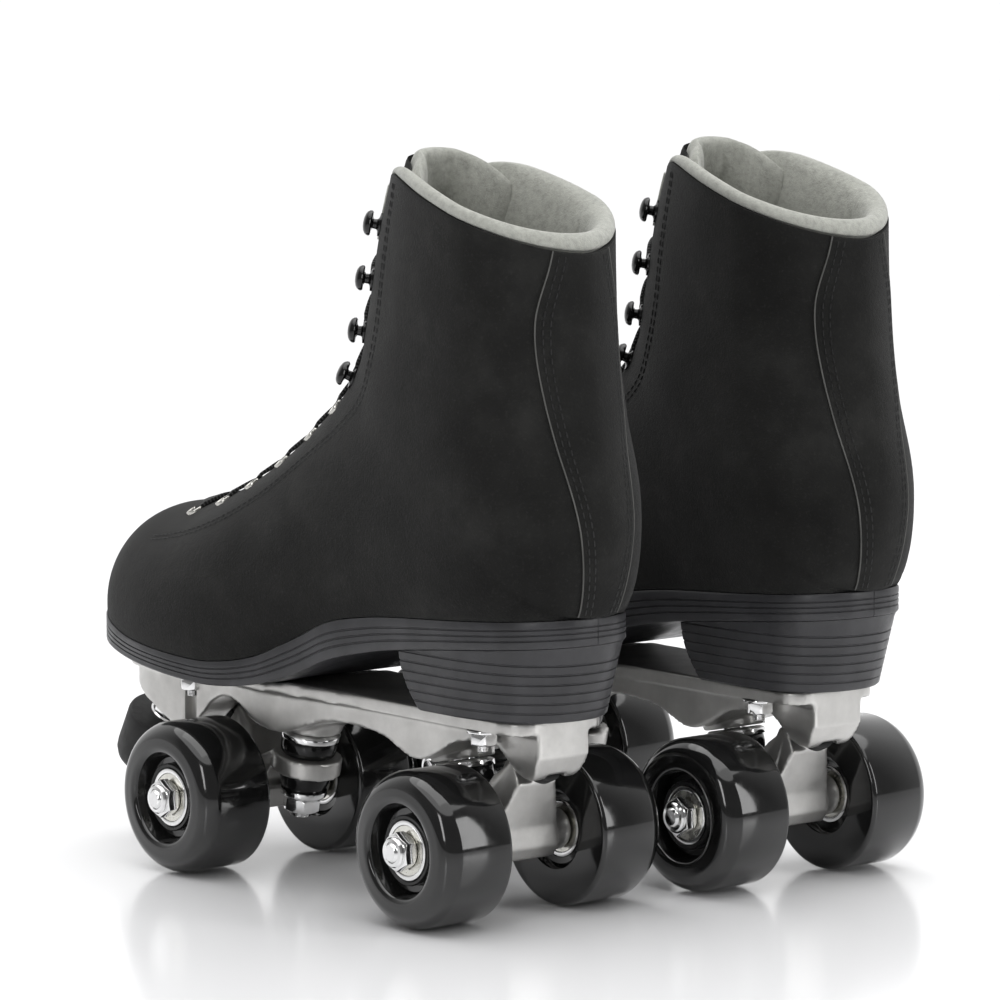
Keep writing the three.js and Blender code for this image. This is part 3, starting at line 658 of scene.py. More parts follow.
class Finish:
    """A material's node tree with short ways to add what most finishes need."""

    def __init__(self, name, colour, roughness, metallic=0.0, **constants):
        self.material = bpy.data.materials.new(name)
        self.material.use_nodes = True
        self.nodes = self.material.node_tree.nodes
        self.links = self.material.node_tree.links
        self.shader = self.nodes["Principled BSDF"]
        self.set("Base Color", (*colour, 1))
        self.set("Roughness", roughness)
        self.set("Metallic", metallic)
        for key, value in constants.items():
            self.set(key.replace("_", " "), value)
        self.place = self.nodes.new("ShaderNodeTexCoord").outputs["Object"]
        self.height = None

    def set(self, socket, value):
        self.shader.inputs[socket].default_value = value

    def node(self, kind, inputs=(), **values):
        made = self.nodes.new(kind)
        for key, value in values.items():
            setattr(made, key, value)
        for key, value in dict(inputs).items():
            if isinstance(value, bpy.types.NodeSocket):
                self.links.new(value, made.inputs[key])
            else:
                made.inputs[key].default_value = value
        return made

    def noise(self, scale, detail=3.0, roughness=0.55, place=None):
        inputs = {"Vector": place or self.place, "Scale": scale, "Detail": detail, "Roughness": roughness}
        return self.node("ShaderNodeTexNoise", inputs).outputs["Fac"]

    def ramp(self, value, stops):
        """Colours or greys along a value."""
        made = self.node("ShaderNodeValToRGB", {"Fac": value})
        made.color_ramp.elements[0].position, made.color_ramp.elements[1].position = stops[0][0], stops[-1][0]
        for at, _ in stops[1:-1]:
            made.color_ramp.elements.new(at)
        for element, (_, colour) in zip(made.color_ramp.elements, stops):
            element.color = (*colour, 1) if isinstance(colour, tuple) else (colour, colour, colour, 1)
        return made.outputs["Color"]

    def mix(self, share, a, b):
        made = self.node("ShaderNodeMix", data_type="RGBA")
        for key, value in (("Factor", share), ("A", a), ("B", b)):
            socket = next(s for s in made.inputs if s.name == key and s.enabled)
            if isinstance(value, bpy.types.NodeSocket):
                self.links.new(value, socket)
            else:
                socket.default_value = value if key == "Factor" else (*value, 1)
        return next(s for s in made.outputs if s.enabled)

    def math(self, operation, *values):
        made = self.node("ShaderNodeMath", operation=operation)
        for socket, value in zip(made.inputs, values):
            if isinstance(value, bpy.types.NodeSocket):
                self.links.new(value, socket)
            else:
                socket.default_value = value
        return made.outputs[0]

    def colour(self, socket):
        self.links.new(socket, self.shader.inputs["Base Color"])

    def rough(self, socket):
        self.links.new(socket, self.shader.inputs["Roughness"])

    def bump(self, height, distance, strength=1.0):
        """Adds a layer of relief; distance is its height in metres."""
        inputs = {"Height": height, "Distance": distance, "Strength": strength}
        if self.height is not None:
            inputs["Normal"] = self.height
        self.height = self.node("ShaderNodeBump", inputs).outputs["Normal"]
        self.links.new(self.height, self.shader.inputs["Normal"])


def suede(settings):
    finish = Finish("suede", settings.suede, 0.92, Sheen_Weight=0.09, Sheen_Roughness=0.45,
                    Specular_IOR_Level=0.15)
    patch = finish.noise(38, 4, 0.6)
    fleck = finish.noise(900, 2, 0.7)
    dark, light = [tuple(c * k for c in settings.suede) for k in (0.62, 1.75)]
    nap = finish.ramp(patch, [(0.32, dark), (0.55, tuple(settings.suede)), (0.75, light)])
    flecks = finish.ramp(fleck, [(0.55, (0, 0, 0)), (0.8, (0.22, 0.22, 0.21))])
    finish.colour(finish.mix(finish.math("MULTIPLY", flecks, 0.75), nap, (0.075, 0.075, 0.07)))
    finish.bump(finish.noise(1100, 4, 0.75), 0.0003, 1.0)
    finish.bump(finish.noise(260, 3, 0.6), 0.00025, 0.5)
    return finish.material


def lining(settings):
    finish = Finish("lining_knit", settings.lining, 0.9, Sheen_Weight=0.3, Sheen_Roughness=0.5,
                    Specular_IOR_Level=0.2)
    dark, light = [tuple(c * k for c in settings.lining) for k in (0.78, 1.18)]
    shades = [(0.3, dark), (0.5, tuple(settings.lining)), (0.72, light)]
    finish.colour(finish.ramp(finish.noise(420, 4, 0.7), shades))
    finish.bump(finish.noise(1300, 3, 0.8), 0.0003, 0.8)
    finish.bump(finish.noise(180, 2), 0.0004, 0.35)
    return finish.material


def woven(name, colour, scale):
    """Flat woven cord or binding: slanting ribs along and across the piece's own map, with painted sheen and
    shade.
    """
    finish = Finish(name, colour, 0.75, Sheen_Weight=0.04, Specular_IOR_Level=0.25)
    place = finish.node("ShaderNodeTexCoord").outputs["UV"]
    waves = []
    for turn in (0.9, -0.9):
        turned_map = finish.node("ShaderNodeMapping", {"Vector": place, "Rotation": (0, 0, turn)}).outputs[0]
        waves.append(finish.node("ShaderNodeTexWave", {"Vector": turned_map, "Scale": scale, "Distortion": 0.3},
                                 bands_direction="X").outputs["Fac"])
    weave = finish.math("MULTIPLY", *waves)
    # Painted sheen and shade: the ribs' crests are painted much lighter and their troughs darker, standing in
    # for light on the weave's relief, which the bump below gives.
    dark, light = tuple(c * 0.35 for c in colour), tuple(c * 2.6 for c in colour)
    finish.colour(finish.ramp(weave, [(0.08, dark), (0.7, light)]))
    finish.bump(weave, 0.0004, 1.0)
    return finish.material


def rubber(name, colour, roughness, grain=900, depth=0.00006):
    finish = Finish(name, colour, roughness, Specular_IOR_Level=0.4)
    dark, light = tuple(c * 0.8 for c in colour), tuple(c * 1.25 for c in colour)
    finish.colour(finish.ramp(finish.noise(60, 5, 0.6), [(0.35, dark), (0.7, light)]))
    low, high = max(roughness - 0.08, 0.02), roughness + 0.12
    finish.rough(finish.ramp(finish.noise(140, 4, 0.65), [(0.35, low), (0.75, high)]))
    finish.bump(finish.noise(grain, 3, 0.6), depth, 0.7)
    return finish.material


def urethane(settings):
    finish = Finish("wheel_urethane", settings.wheel, 0.1, Specular_IOR_Level=0.5, Coat_Weight=0.35,
                    Coat_Roughness=0.06)
    dark, light = [tuple(c * k for c in settings.wheel) for k in (0.65, 2)]
    finish.colour(finish.ramp(finish.noise(30, 3), [(0.3, dark), (0.8, light)]))
    finish.rough(finish.ramp(finish.noise(220, 5, 0.7), [(0.4, 0.07), (0.75, 0.17)]))
    finish.bump(finish.noise(45, 2), 0.00008, 0.25)
    return finish.material


def cast_alloy(settings):
    finish = Finish("cast_alloy", settings.alloy, 0.34, 0.85, Specular_IOR_Level=0.5)
    dark, light = [tuple(min(c * k, 1) for c in settings.alloy) for k in (0.86, 1.08)]
    finish.colour(finish.ramp(finish.noise(70, 5, 0.6), [(0.35, dark), (0.7, light)]))
    finish.rough(finish.ramp(finish.noise(160, 4, 0.6), [(0.35, 0.3), (0.75, 0.44)]))
    finish.bump(finish.noise(700, 4, 0.65), 0.00006, 0.5)
    return finish.material


def plated(name, colour, roughness, grain=0.00002):
    finish = Finish(name, colour, roughness, 1.0)
    finish.rough(finish.ramp(finish.noise(300, 4, 0.6), [(0.35, roughness * 0.7), (0.75, roughness * 1.8)]))
    dark = tuple(c * 0.88 for c in colour)
    finish.colour(finish.ramp(finish.noise(120, 3), [(0.4, tuple(colour)), (0.8, dark)]))
    finish.bump(finish.noise(500, 3), grain, 0.5)
    return finish.material


# ---- Settings ----

def colour_property(name, description, default):
    return FloatVectorProperty(name=name, description=description, default=default, subtype="COLOR", size=3,
                               min=0, max=1)


class SkateSettings(bpy.types.PropertyGroup):
    """Colours and sizes of the skates that can be changed without touching the frame."""

    suede: colour_property("Suede", "Base colour of the boots", (0.0125, 0.0125, 0.0119))
    lining: colour_property("Lining", "Colour of the padded lining", (0.37, 0.375, 0.34))
    sole: colour_property("Sole", "Colour of the sole and heel", (0.034, 0.034, 0.037))
    wheel: colour_property("Wheels", "Colour of the wheels", (0.006, 0.006, 0.006))
    alloy: colour_property("Alloy", "Colour of the plate and trucks", (0.56, 0.553, 0.536))
    lace_width: FloatProperty(name="Lace width", description="Width of the flat lace", default=7 * MM,
                              unit="LENGTH", min=2 * MM, max=12 * MM)
    stitch: FloatProperty(name="Stitch", description="Length of one stitch", default=2.3 * MM,
                          unit="LENGTH", min=MM, max=6 * MM)
    rim: FloatProperty(name="Collar rim", description="Height of the rolled rim over the suede",
                       default=6 * MM, unit="LENGTH", min=MM, max=8 * MM)


def settings_of(context):
    return context.scene.skates


_materials = {}


def finish_of(name):
    """A finish by name, made once."""
    if name not in _materials:
        settings = settings_of(bpy.context)
        makers = {
            "suede": lambda: suede(settings),
            "lining": lambda: lining(settings),
            "lace": lambda: woven("lace_weave", (0.024, 0.024, 0.024), 2.1),
            "thread": lambda: rubber("thread", (0.013, 0.013, 0.013), 0.5, 2500, 0.0001),
            "cut_edge": lambda: rubber("cut_edge", (0.09, 0.09, 0.085), 0.85, 2500, 0.0001),
            "insole": lambda: rubber("insole_cloth", (0.03, 0.03, 0.03), 0.85, 1600, 0.0002),
            "sole": lambda: rubber("sole_rubber", tuple(settings.sole), 0.42),
            "stop": lambda: rubber("stop_rubber", (0.016, 0.016, 0.016), 0.62, 500, 0.00012),
            "cushion": lambda: rubber("cushion_urethane", (0.006, 0.006, 0.006), 0.14, 300, 0.00003),
            "hub": lambda: rubber("hub_plastic", (0.01, 0.01, 0.01), 0.3, 600, 0.00003),
            "wheel": lambda: urethane(settings),
            "alloy": lambda: cast_alloy(settings),
            "chrome": lambda: plated("chrome", (0.82, 0.82, 0.82), 0.1),
            "steel": lambda: plated("bearing_steel", (0.72, 0.71, 0.66), 0.2),
            "nickel": lambda: plated("nickel", (0.5, 0.49, 0.46), 0.22),
            "enamel": lambda: rubber("hook_enamel", (0.006, 0.006, 0.006), 0.12, 400, 0.00002),
        }
        _materials[name] = makers[name]()
    return _materials[name]


# ---- Pieces of the boot ----

def seam_up(girth, side, half):
    """How far up from the back a girth is as wide as this on one side."""
    power = boxiness(girth)
    share = min(half / half_width(girth, side), 0.98)
    down = (1 - share ** power) ** (1 / power)
    return -math.asin(min(down, 1)) / (math.pi / 2)


def backstay_rows(lift, columns=14, shaft_rows=52):
    """The strip over the back seam, from the sole to the collar."""
    rows = []
    for k in range(shaft_rows + 1):
        row = []
        for j in range(-columns, columns + 1):
            side = 1 if j >= 0 else -1
            share = abs(j) / columns

            def up_of(girth, side=side, share=share):
                z = boot(girth, -1, side).z
                return lerp(-1, seam_up(girth, side, height_of(backstay_edge, z)), share)
            top = collar_girth(up_of, side)
            girth = lerp(HEEL_GIRTH + 0.02, top, k / shaft_rows)
            row.append(boot(girth, up_of(girth), side, -lift))
        rows.append(row)
    return rows


def cord(name, line, radius):
    """A round cord along a line of (point, normal)."""
    rows = []
    for i, (point, normal) in enumerate(line):
        along = (line[min(i + 1, len(line) - 1)][0] - line[max(i - 1, 0)][0]).normalized()
        side = along.cross(normal).normalized()
        turns = [math.pi / 4 * k for k in range(8)]
        rows.append([point + (side * math.cos(t) + normal * math.sin(t)) * radius for t in turns])
    piece = grid(name, rows, closed=True, cap=True)
    clean(piece, 0.000001)
    smooth(piece, 80)
    return piece


def stitches(name, lines, length):
    """Short raised threads along lines of (point, normal), a stitch and a gap at a time."""
    points, faces = [], []
    gap = length * 0.45
    for line in lines:
        travelled, due = 0.0, 0.0
        for (a, na), (b, _) in zip(line, line[1:]):
            run = (b - a).length
            along = (b - a).normalized()
            while due <= travelled + run:
                centre = a + along * (due - travelled) + na * 0.12
                side = along.cross(na).normalized()
                first = len(points)
                for reach, wide in ((-0.5, 0.45), (-0.3, 1.0), (0.3, 1.0), (0.5, 0.45)):
                    ring = [(side, 0.3), (na, 0.3), (side, -0.3), (na, -0.25)]
                    points += [centre + along * length * reach + axis * size * wide for axis, size in ring]
                for r in range(3):
                    for c in range(4):
                        p, q = first + r * 4 + c, first + r * 4 + (c + 1) % 4
                        faces.append((p, q, q + 4, p + 4))
                faces.append([first + c for c in (3, 2, 1, 0)])
                faces.append([first + 12 + c for c in range(4)])
                due += length + gap
            travelled += run
    piece = mesh_piece(name, points, faces)
    clean(piece, 0.000001)
    smooth(piece, 60)
    return piece


class SKATES_OT_upper(bpy.types.Operator):
    """Suede uppers with their backstays and stitching"""

    bl_idname = "skates.upper"
    bl_label = "Uppers"

    def execute(self, context):
        settings = settings_of(context)
        upper = boot_shell("upper", 0.0, UPPER_THICKNESS)
        bevel(upper, 0.6, 2, 50)
        smooth(upper, 50)
        on_boots(upper, finish_of("suede"), "boot_upper")
        lift = BACKSTAY_LIFT
        backstay = grid("backstay", backstay_rows(lift))
        clean(backstay)
        modify(backstay, "SOLIDIFY", thickness=(lift + 0.15) * MM, offset=-1)
        bevel(backstay, 0.3, 2, 50)
        smooth(backstay, 50)
        on_boots(backstay, finish_of("suede"))
        rows = backstay_rows(lift * 0.72)
        upright = Vector((0, 0, 1))
        edges = []
        for column in (0, -1):
            line = []
            for row in rows:
                point, middle = row[column], row[len(row) // 2]
                line.append((point, (point - middle).normalized().cross(upright).normalized()))
            edges.append(cord("cut_edge", line, 0.32))
        on_boots(join("cut_edges", edges), finish_of("cut_edge"))
        length = settings.stitch / MM
        on_boots(stitches("stitching", self.lines(lift), length), finish_of("thread"))
        return {"FINISHED"}

    def lines(self, lift):
        """Seam lines: two rows inside each edge of the backstay and two down each side of the lacing."""
        lines = []
        for side in (1, -1):
            for row in (2.2, 4.4):
                def beside(girth, side=side, row=row):
                    z = boot(girth, -1, side).z
                    return seam_up(girth, side, height_of(backstay_edge, z) - row)

                lines.append(self.seam(side, beside, HEEL_GIRTH, 17.4, lift, 1))
            for up in (STITCH_AT, STITCH_AT + 0.028):
                lines.append(self.seam(side, lambda girth, up=up: up, THROAT_GIRTH, 16.5, 0, 2.5))
        return lines

    def seam(self, side, up_of, start, end, lift, short):
        """Points and normals along the girths, stopping short of the collar."""
        line = []
        girth = start + 0.1
        while girth < end:
            up = up_of(girth)
            point = boot(girth, up, side, -lift)
            if point.z < height_of(collar_line, point.x) - short:
                line.append((point, normal_at(girth, up, side)[0]))
            girth += 0.1
        return line


def plump(piece, held, pressure, cap):
    """Swells a closed pad by cloth under pressure; held points stay, and no point moves past the cap."""
    scene = bpy.context.scene
    before = [v.co.copy() for v in piece.data.vertices]
    group = piece.vertex_groups.new(name="held")
    group.add(held, 1.0, "REPLACE")
    select(piece)
    cloth = piece.modifiers.new("Cloth", "CLOTH")
    cloth.settings.quality = 6
    cloth.settings.mass = 0.15
    cloth.settings.vertex_group_mass = "held"
    cloth.settings.effector_weights.gravity = 0
    cloth.settings.use_pressure = True
    cloth.settings.uniform_pressure_force = pressure
    cloth.settings.tension_stiffness = cloth.settings.compression_stiffness = 8
    cloth.settings.bending_stiffness = 0.3
    cloth.point_cache.frame_start, cloth.point_cache.frame_end = 1, 20
    for moment in range(1, 21):
        scene.frame_set(moment)
    bpy.ops.object.modifier_apply(modifier=cloth.name)
    scene.frame_set(1)
    piece.vertex_groups.clear()
    for vertex, start in zip(piece.data.vertices, before):
        moved = vertex.co - start
        if moved.length > cap * MM:
            vertex.co = start + moved.normalized() * cap * MM


RIM_PROFILE = (  # inset from the suede's surface, and rise over its edge, as a share of the rim
    (3.0, -3.4), (2.9, -0.5), (2.4, 0.02), (1.0, 0.04), (0.35, 0.2), (0.2, 0.42), (0.5, 0.68), (1.5, 0.9),
    (3.0, 1.0), (5.0, 0.98), (6.9, 0.75), (8.2, 0.3), (8.9, -0.4),
)

PAD_PROFILE = (  # inset, and rise over the suede's edge, down the pad's inner face and back up behind it
    (8.9, -9), (8.7, -18), (8.3, -30), (7.6, -44), (6.9, -56), (3.3, -56), (3.1, -40), (3.1, -24),
)


class SKATES_OT_lining(bpy.types.Operator):
    """Padded collars, the lining under them and the insoles"""

    bl_idname = "skates.lining"
    bl_label = "Linings"

    def execute(self, context):
        self.collar(settings_of(context).rim / MM)
        inner = boot_shell("lining", 3.2, 3.6, rise=-48, columns=28, pitch=0.3, shaft_rows=18, lift=0.6,
                           throat=TONGUE_HALF + 1)
        smooth(inner, 60)
        on_boots(inner, finish_of("lining"), "boot_lining")
        insole = sole_slab("insole_sheet", -7.8, lambda x: height_of(sole_top, x) + 4.3,
                           lambda x: height_of(sole_top, x) + 0.5, ())
        bevel(insole, 0.8, 2, 40)
        smooth(insole, 40)
        on_boots(insole, finish_of("insole"), "insole")
        return {"FINISHED"}

    def collar(self, rim):
        """The rolled rim and the pads under it, plumped between their seams."""
        columns = []
        per_side = 54
        ways = [(1, 1 - i / per_side) for i in range(per_side)]
        ways += [(-1, i / per_side) for i in range(per_side + 1)]
        profile = [(inset, rise * rim) for inset, rise in RIM_PROFILE] + list(PAD_PROFILE)
        for side, share in ways:
            def up_of(girth, side=side, share=share):
                return lerp(-1, throat_up(girth, side), share)
            top = collar_girth(up_of, side)
            speed = (boot(top + 0.1, up_of(top), side) - boot(top - 0.1, up_of(top), side)).length / 0.2
            thin = lerp(0.55, 1, step(1 - share, 0, 0.3))
            low = lerp(0.3, 0.8 + 0.2 * step(1 - share, 0.6, 1), step(1 - share, 0, 0.24))
            column = []
            for inset, rise in profile:
                girth = top + (rise * low if rise > 0 else rise) / speed
                if inset > 1:
                    swell = 1.6 * math.sin(min(max((-rise + 6) / 50, 0), 1) * math.pi) if inset > 5 else 0
                    inset = 1 + (inset + swell - 1) * (thin if inset > 3.5 else 1)
                column.append(boot(girth, up_of(top), side, inset))
            columns.append(column)
        piece = grid("collar_pad", columns, closed=True, cap=True)
        clean(piece)
        width = len(profile)
        behind = [j for j, (inset, _) in enumerate(profile) if inset < 3.5]
        held = {i * width + j for i in range(len(ways)) for j in behind}
        held |= {i * width + j for i in (0, len(ways) - 1) for j in range(width)}
        plump(piece, sorted(held), PAD_PRESSURE, 1.6)
        modify(piece, "SUBSURF", levels=1, render_levels=1)
        smooth(piece, 180)
        on_boots(piece, finish_of("lining"), None)
        cords = []
        for side in (1, -1):
            line, girth = [], 13.9
            top = collar_girth(lambda g, side=side: throat_up(g, side), side, 0, 1.2)
            while girth < top:
                up = throat_up(girth, side)
                line.append((boot(girth, up, side, 0.2), normal_at(girth, up, side)[0]))
                girth += 0.08
            cords.append(cord("piping", line, 1.0))
        on_boots(join("piping", cords), finish_of("lining"))


class SKATES_OT_tongue(bpy.types.Operator):
    """Tongues: a suede face over a wider grey pad that shows round its edge"""

    bl_idname = "skates.tongue"
    bl_label = "Tongues"

    def execute(self, context):
        face = self.leaf("tongue_face", 3.1, 1.5, TONGUE_HALF - 1.2, TONGUE_HALF - 1.2, -3.6)
        on_boots(face, finish_of("suede"), "tongue")
        pad = self.leaf("tongue_pad", 4.8, 6.5, TONGUE_HALF, TONGUE_HALF + 9, 2.2)
        plump(pad, self.edges(pad), PAD_PRESSURE, 1.8)
        modify(pad, "SUBSURF", levels=1, render_levels=1)
        smooth(pad, 180)
        on_boots(pad, finish_of("lining"), None)
        return {"FINISHED"}

    def leaf(self, name, inset, thickness, narrow, wide, rise):
        """A closed leaf along the ridge, wider round the ankle, thick in the middle and thin at its edges.
        Its sides tuck in behind the quarters."""
        columns, rows_count = 20, 80
        start = THROAT_GIRTH - 0.4

        def spot(share, across, depth):
            side = 1 if across >= 0 else -1

            def y_of(girth):
                return abs(across) * lerp(narrow, wide, step(girth, 11.5, 16))

            def up_of(girth):
                return math.acos(min(y_of(girth) / half_width(girth, side), 1)) / (math.pi / 2)

            def over(girth):
                point = boot(girth, up_of(girth), side, inset)
                return point.z - height_of(TONGUE_TOP, point.x) - rise + 2.5 * abs(across) ** 6
            girth = lerp(start, seek(over, 14, 20), share)
            tuck = 3.6 * step(y_of(girth), 10, 16) * step(girth, 9, 13)
            return boot(girth, up_of(girth), side, inset + depth + tuck)

        sheets = []
        for face in (0, 1):
            rows = []
            for k in range(rows_count + 1):
                share = k / rows_count
                row = []
                for j in range(-columns, columns + 1):
                    across = j / columns
                    full = math.sqrt(max(1 - across ** 6, 0)) * math.sqrt(max(1 - share ** 40, 0))
                    full *= math.sqrt(min(share * 12, 1))
                    depth = thickness * (0.5 - 0.5 * full) if face == 0 else thickness * (0.5 + 0.5 * full)
                    row.append(spot(share, across, depth))
                rows.append(row if face == 0 else row[::-1])
            sheets.append(grid(name, rows))
        piece = join(name, sheets)
        clean(piece, 0.0001)
        smooth(piece, 60)
        return piece

    def edges(self, piece):
        """Points near the leaf's rim and its hidden foot."""
        low = max(v.co.x for v in piece.data.vertices) - 0.02
        rim = 0.92 * TONGUE_HALF * MM
        return [v.index for v in piece.data.vertices
                if abs(v.co.y) > rim * (1 + 0.42 * step(v.co.z / MM, 225, 262)) or v.co.x > low]


def ribbon(name, centres, widths, normals, thickness):
    """A flat band along points, with a map that runs across and along it."""
    rows, travelled, lengths = [], 0.0, []
    for i, (centre, width, normal) in enumerate(zip(centres, widths, normals)):
        before, after = centres[max(i - 1, 0)], centres[min(i + 1, len(centres) - 1)]
        along = (after - before).normalized()
        across = along.cross(normal).normalized()
        face = across.cross(along).normalized()
        w, t = width / 2, thickness / 2
        section = [(-w, 0), (-w * 0.93, t), (-w * 0.4, t * 1.15), (w * 0.4, t * 1.15), (w * 0.93, t), (w, 0),
                   (w * 0.93, -t), (-w * 0.93, -t)]
        rows.append([centre + across * a + face * b for a, b in section])
        if i:
            travelled += (centre - centres[i - 1]).length
        lengths.append(travelled)
    piece = grid(name, rows, closed=True, cap=True)
    mesh = piece.data
    layer = mesh.uv_layers.new(name="band")
    spread = [0, 0.07, 0.3, 0.7, 0.93, 1.0, 0.93, 0.07]
    for loop in mesh.loops:
        row, column = divmod(loop.vertex_index, 8)
        layer.data[loop.index].uv = (spread[column], lengths[row] / 7)
    return piece


class SKATES_OT_laces(bpy.types.Operator):
    """Flat laces through the eyelets and round the hooks"""

    bl_idname = "skates.laces"
    bl_label = "Laces"

    def execute(self, context):
        width = settings_of(context).lace_width / MM
        rows = EYELET_ROWS + HOOK_ROWS[:-1]
        bands = [self.band(rows[0], rows[0], 1, width, 0.4, True)]
        for low, high in zip(rows, rows[1:]):
            over = high in HOOK_ROWS
            bands.append(self.band(low, high, 1, width, 0.75, over))
            bands.append(self.band(low, high, -1, width, -0.55, over))
        bands.append(self.band(rows[-1], rows[-1] + 0.12, 1, width, 1.2, True))
        lace = join("lace_bands", bands)
        clean(lace, 0.000001)
        smooth(lace, 50)
        on_boots(lace, finish_of("lace"), "lace")
        return {"FINISHED"}

    def band(self, low, high, side, width, crossing, over):
        """From an eyelet, across the throat, to the next row on the other side: over it at a hook, under
        the edge at an eyelet."""
        centres, widths, normals = [], [], []
        steps = 22
        for i in range(steps + 1):
            t = i / steps
            here = side if t <= 0.5 else -side
            rise = 1 - abs(2 * t - 1)
            up = lerp(EYELET_AT, 1, rise)
            girth = lerp(low, high, t)
            start = lerp(-1.4, 1.15, step(t, 0, 0.07))
            end = 1.15 if over else lerp(1.15, -3.3, step(t, 0.6, 0.82))
            if over and t > 0.93:
                end = lerp(1.15, 0.2, step(t, 0.93, 1))
            lift = min(start, end) + crossing * step(rise, 0.35, 0.95)
            sag = -2.8 * step(rise, 0.45, 1)
            centres.append(boot(girth, up, here, -(lift + sag)))
            taper = lerp(1, 0.6 if over else 1, step(t, 0.9, 1))
            widths.append(width * lerp(0.55, 1, step(t, 0, 0.12)) * taper)
            normals.append(normal_at(girth, up, here)[0])
        return ribbon("band", centres, widths, normals, 1.25)


class SKATES_OT_eyelets(bpy.types.Operator):
    """Nickel eyelets and black hooks"""

    bl_idname = "skates.eyelets"
    bl_label = "Eyelets and hooks"

    def execute(self, context):
        eyelet = turned("eyelet", [(2.7, -0.5), (2.7, 0.45), (2.95, 0.85), (3.3, 0.95), (3.65, 0.75),
                                   (3.85, 0.1), (3.8, -0.4)], 28, ring=True)
        hole = turned("hole", [(0, -0.4), (2.75, -0.4), (2.75, 0.16), (0, 0.16)], 20)
        hook = turned("hook", [(0, 0), (4.4, 0), (4.4, 0.7), (2.4, 1.1), (1.9, 1.6), (1.8, 2.9), (2.6, 3.3),
                               (4.3, 3.4), (4.8, 3.9), (4.7, 4.7), (4.1, 5.6), (3.1, 6.2), (1.6, 6.6),
                               (0, 6.7)], 32)
        self.set_rows("eyelets", eyelet, EYELET_ROWS, "steel", "nickel")
        self.set_rows("eyelet_holes", hole, EYELET_ROWS, "lining", "insole")
        self.set_rows("hooks", hook, HOOK_ROWS, "steel", "enamel")
        discard(eyelet, hole, hook)
        return {"FINISHED"}

    def set_rows(self, name, model, rows, slot, material):
        copies = []
        for side in (1, -1):
            for girth in rows:
                normal, upward = normal_at(girth, EYELET_AT, side)
                across = upward.cross(normal).normalized()
                turn = Matrix((across, normal, across.cross(normal))).transposed().to_4x4()
                if turn.determinant() < 0:
                    turn = turn @ Matrix.Diagonal((-1, 1, 1, 1))
                copies.append(copied(model, Matrix.Translation(boot(girth, EYELET_AT, side) * MM) @ turn))
        on_boots(join(name, copies), finish_of(material))


# ---- Sole and heel ----

def sole_edge(girth, side, margin):
    """Point of the sole's edge beside a girth, moved out by a margin, and the way out there."""
    up = sole_up(girth, side)
    point = boot(girth, up, side)
    ahead = boot(girth - 0.05, sole_up(max(girth - 0.05, 0), side), side)
    behind = boot(min(girth + 0.05, HEEL_GIRTH), sole_up(min(girth + 0.05, HEEL_GIRTH), side), side)
    run = (behind - ahead)
    run.z = 0
    if girth < 0.06:
        out = Vector((0.6, side * 0.8, 0))
    else:
        out = Vector((run.y, -run.x, 0)) * side
    out.normalize()
    return point + out * margin, out


def rounded_end(pair, bulge, shares):
    """Sections that round off an end beyond its last pair of edges."""
    ahead = Vector((math.copysign(1, bulge), 0, 0))
    middle = (pair[0][0] + pair[1][0]) / 2
    sections = []
    for k in shares:
        reach = ahead * (abs(bulge) * (1 - k * k))
        sections.append([(middle + (point - middle) * k + reach, ahead.lerp(out, k).normalized())
                         for point, out in pair])
    return sections


def sole_outline(count=150, margin=SOLE_MARGIN):
    """Edges of both sides at the same girths, toe first; they meet behind the heel."""
    girths = [HEEL_GIRTH * (i / count * 0.5 + (1 - (1 - i / count) ** 1.6) * 0.5) for i in range(count)]
    pairs = [(sole_edge(girth, 1, margin), sole_edge(girth, -1, margin)) for girth in girths]
    front = rounded_end(pairs[0], 1.2, (0.02, 0.35, 0.7, 0.9))
    return front + pairs + rounded_end(pairs[-1], -1.6, (0.92, 0.75, 0.5, 0.25, 0.02))


def sole_slab(name, margin, top, bottom, grooves):
    """A slab between two heights inside the sole's edge, as sections from toe to heel. Grooves run round
    its wall at these shares of its height."""
    wall = [(0.0, -0.5), (0.06, 0.0)]
    for at in grooves:
        wall += [(at - 0.035, 0.0), (at - 0.012, -0.45), (at + 0.012, -0.45), (at + 0.035, 0.0)]
    wall += [(0.94, 0.0), (1.0, -0.4)]
    across = 8
    rows = []
    for outer, inner in sole_outline(150, margin):
        def at(share, point):
            return Vector((point.x, point.y, lerp(bottom(point.x), top(point.x), share)))

        row = [at(share, outer[0] + outer[1] * inset) for share, inset in wall]
        ends = [edge[0] + edge[1] * wall[-1][1] for edge in (outer, inner)]
        row += [at(1.0, ends[0].lerp(ends[1], i / across)) for i in range(1, across)]
        row += [at(share, inner[0] + inner[1] * inset) for share, inset in wall[::-1]]
        ends = [edge[0] + edge[1] * wall[0][1] for edge in (inner, outer)]
        row += [at(0.0, ends[0].lerp(ends[1], i / across)) for i in range(1, across)]
        rows.append(row)
    piece = grid(name, rows, closed=True, cap=True)
    clean(piece)
    return piece


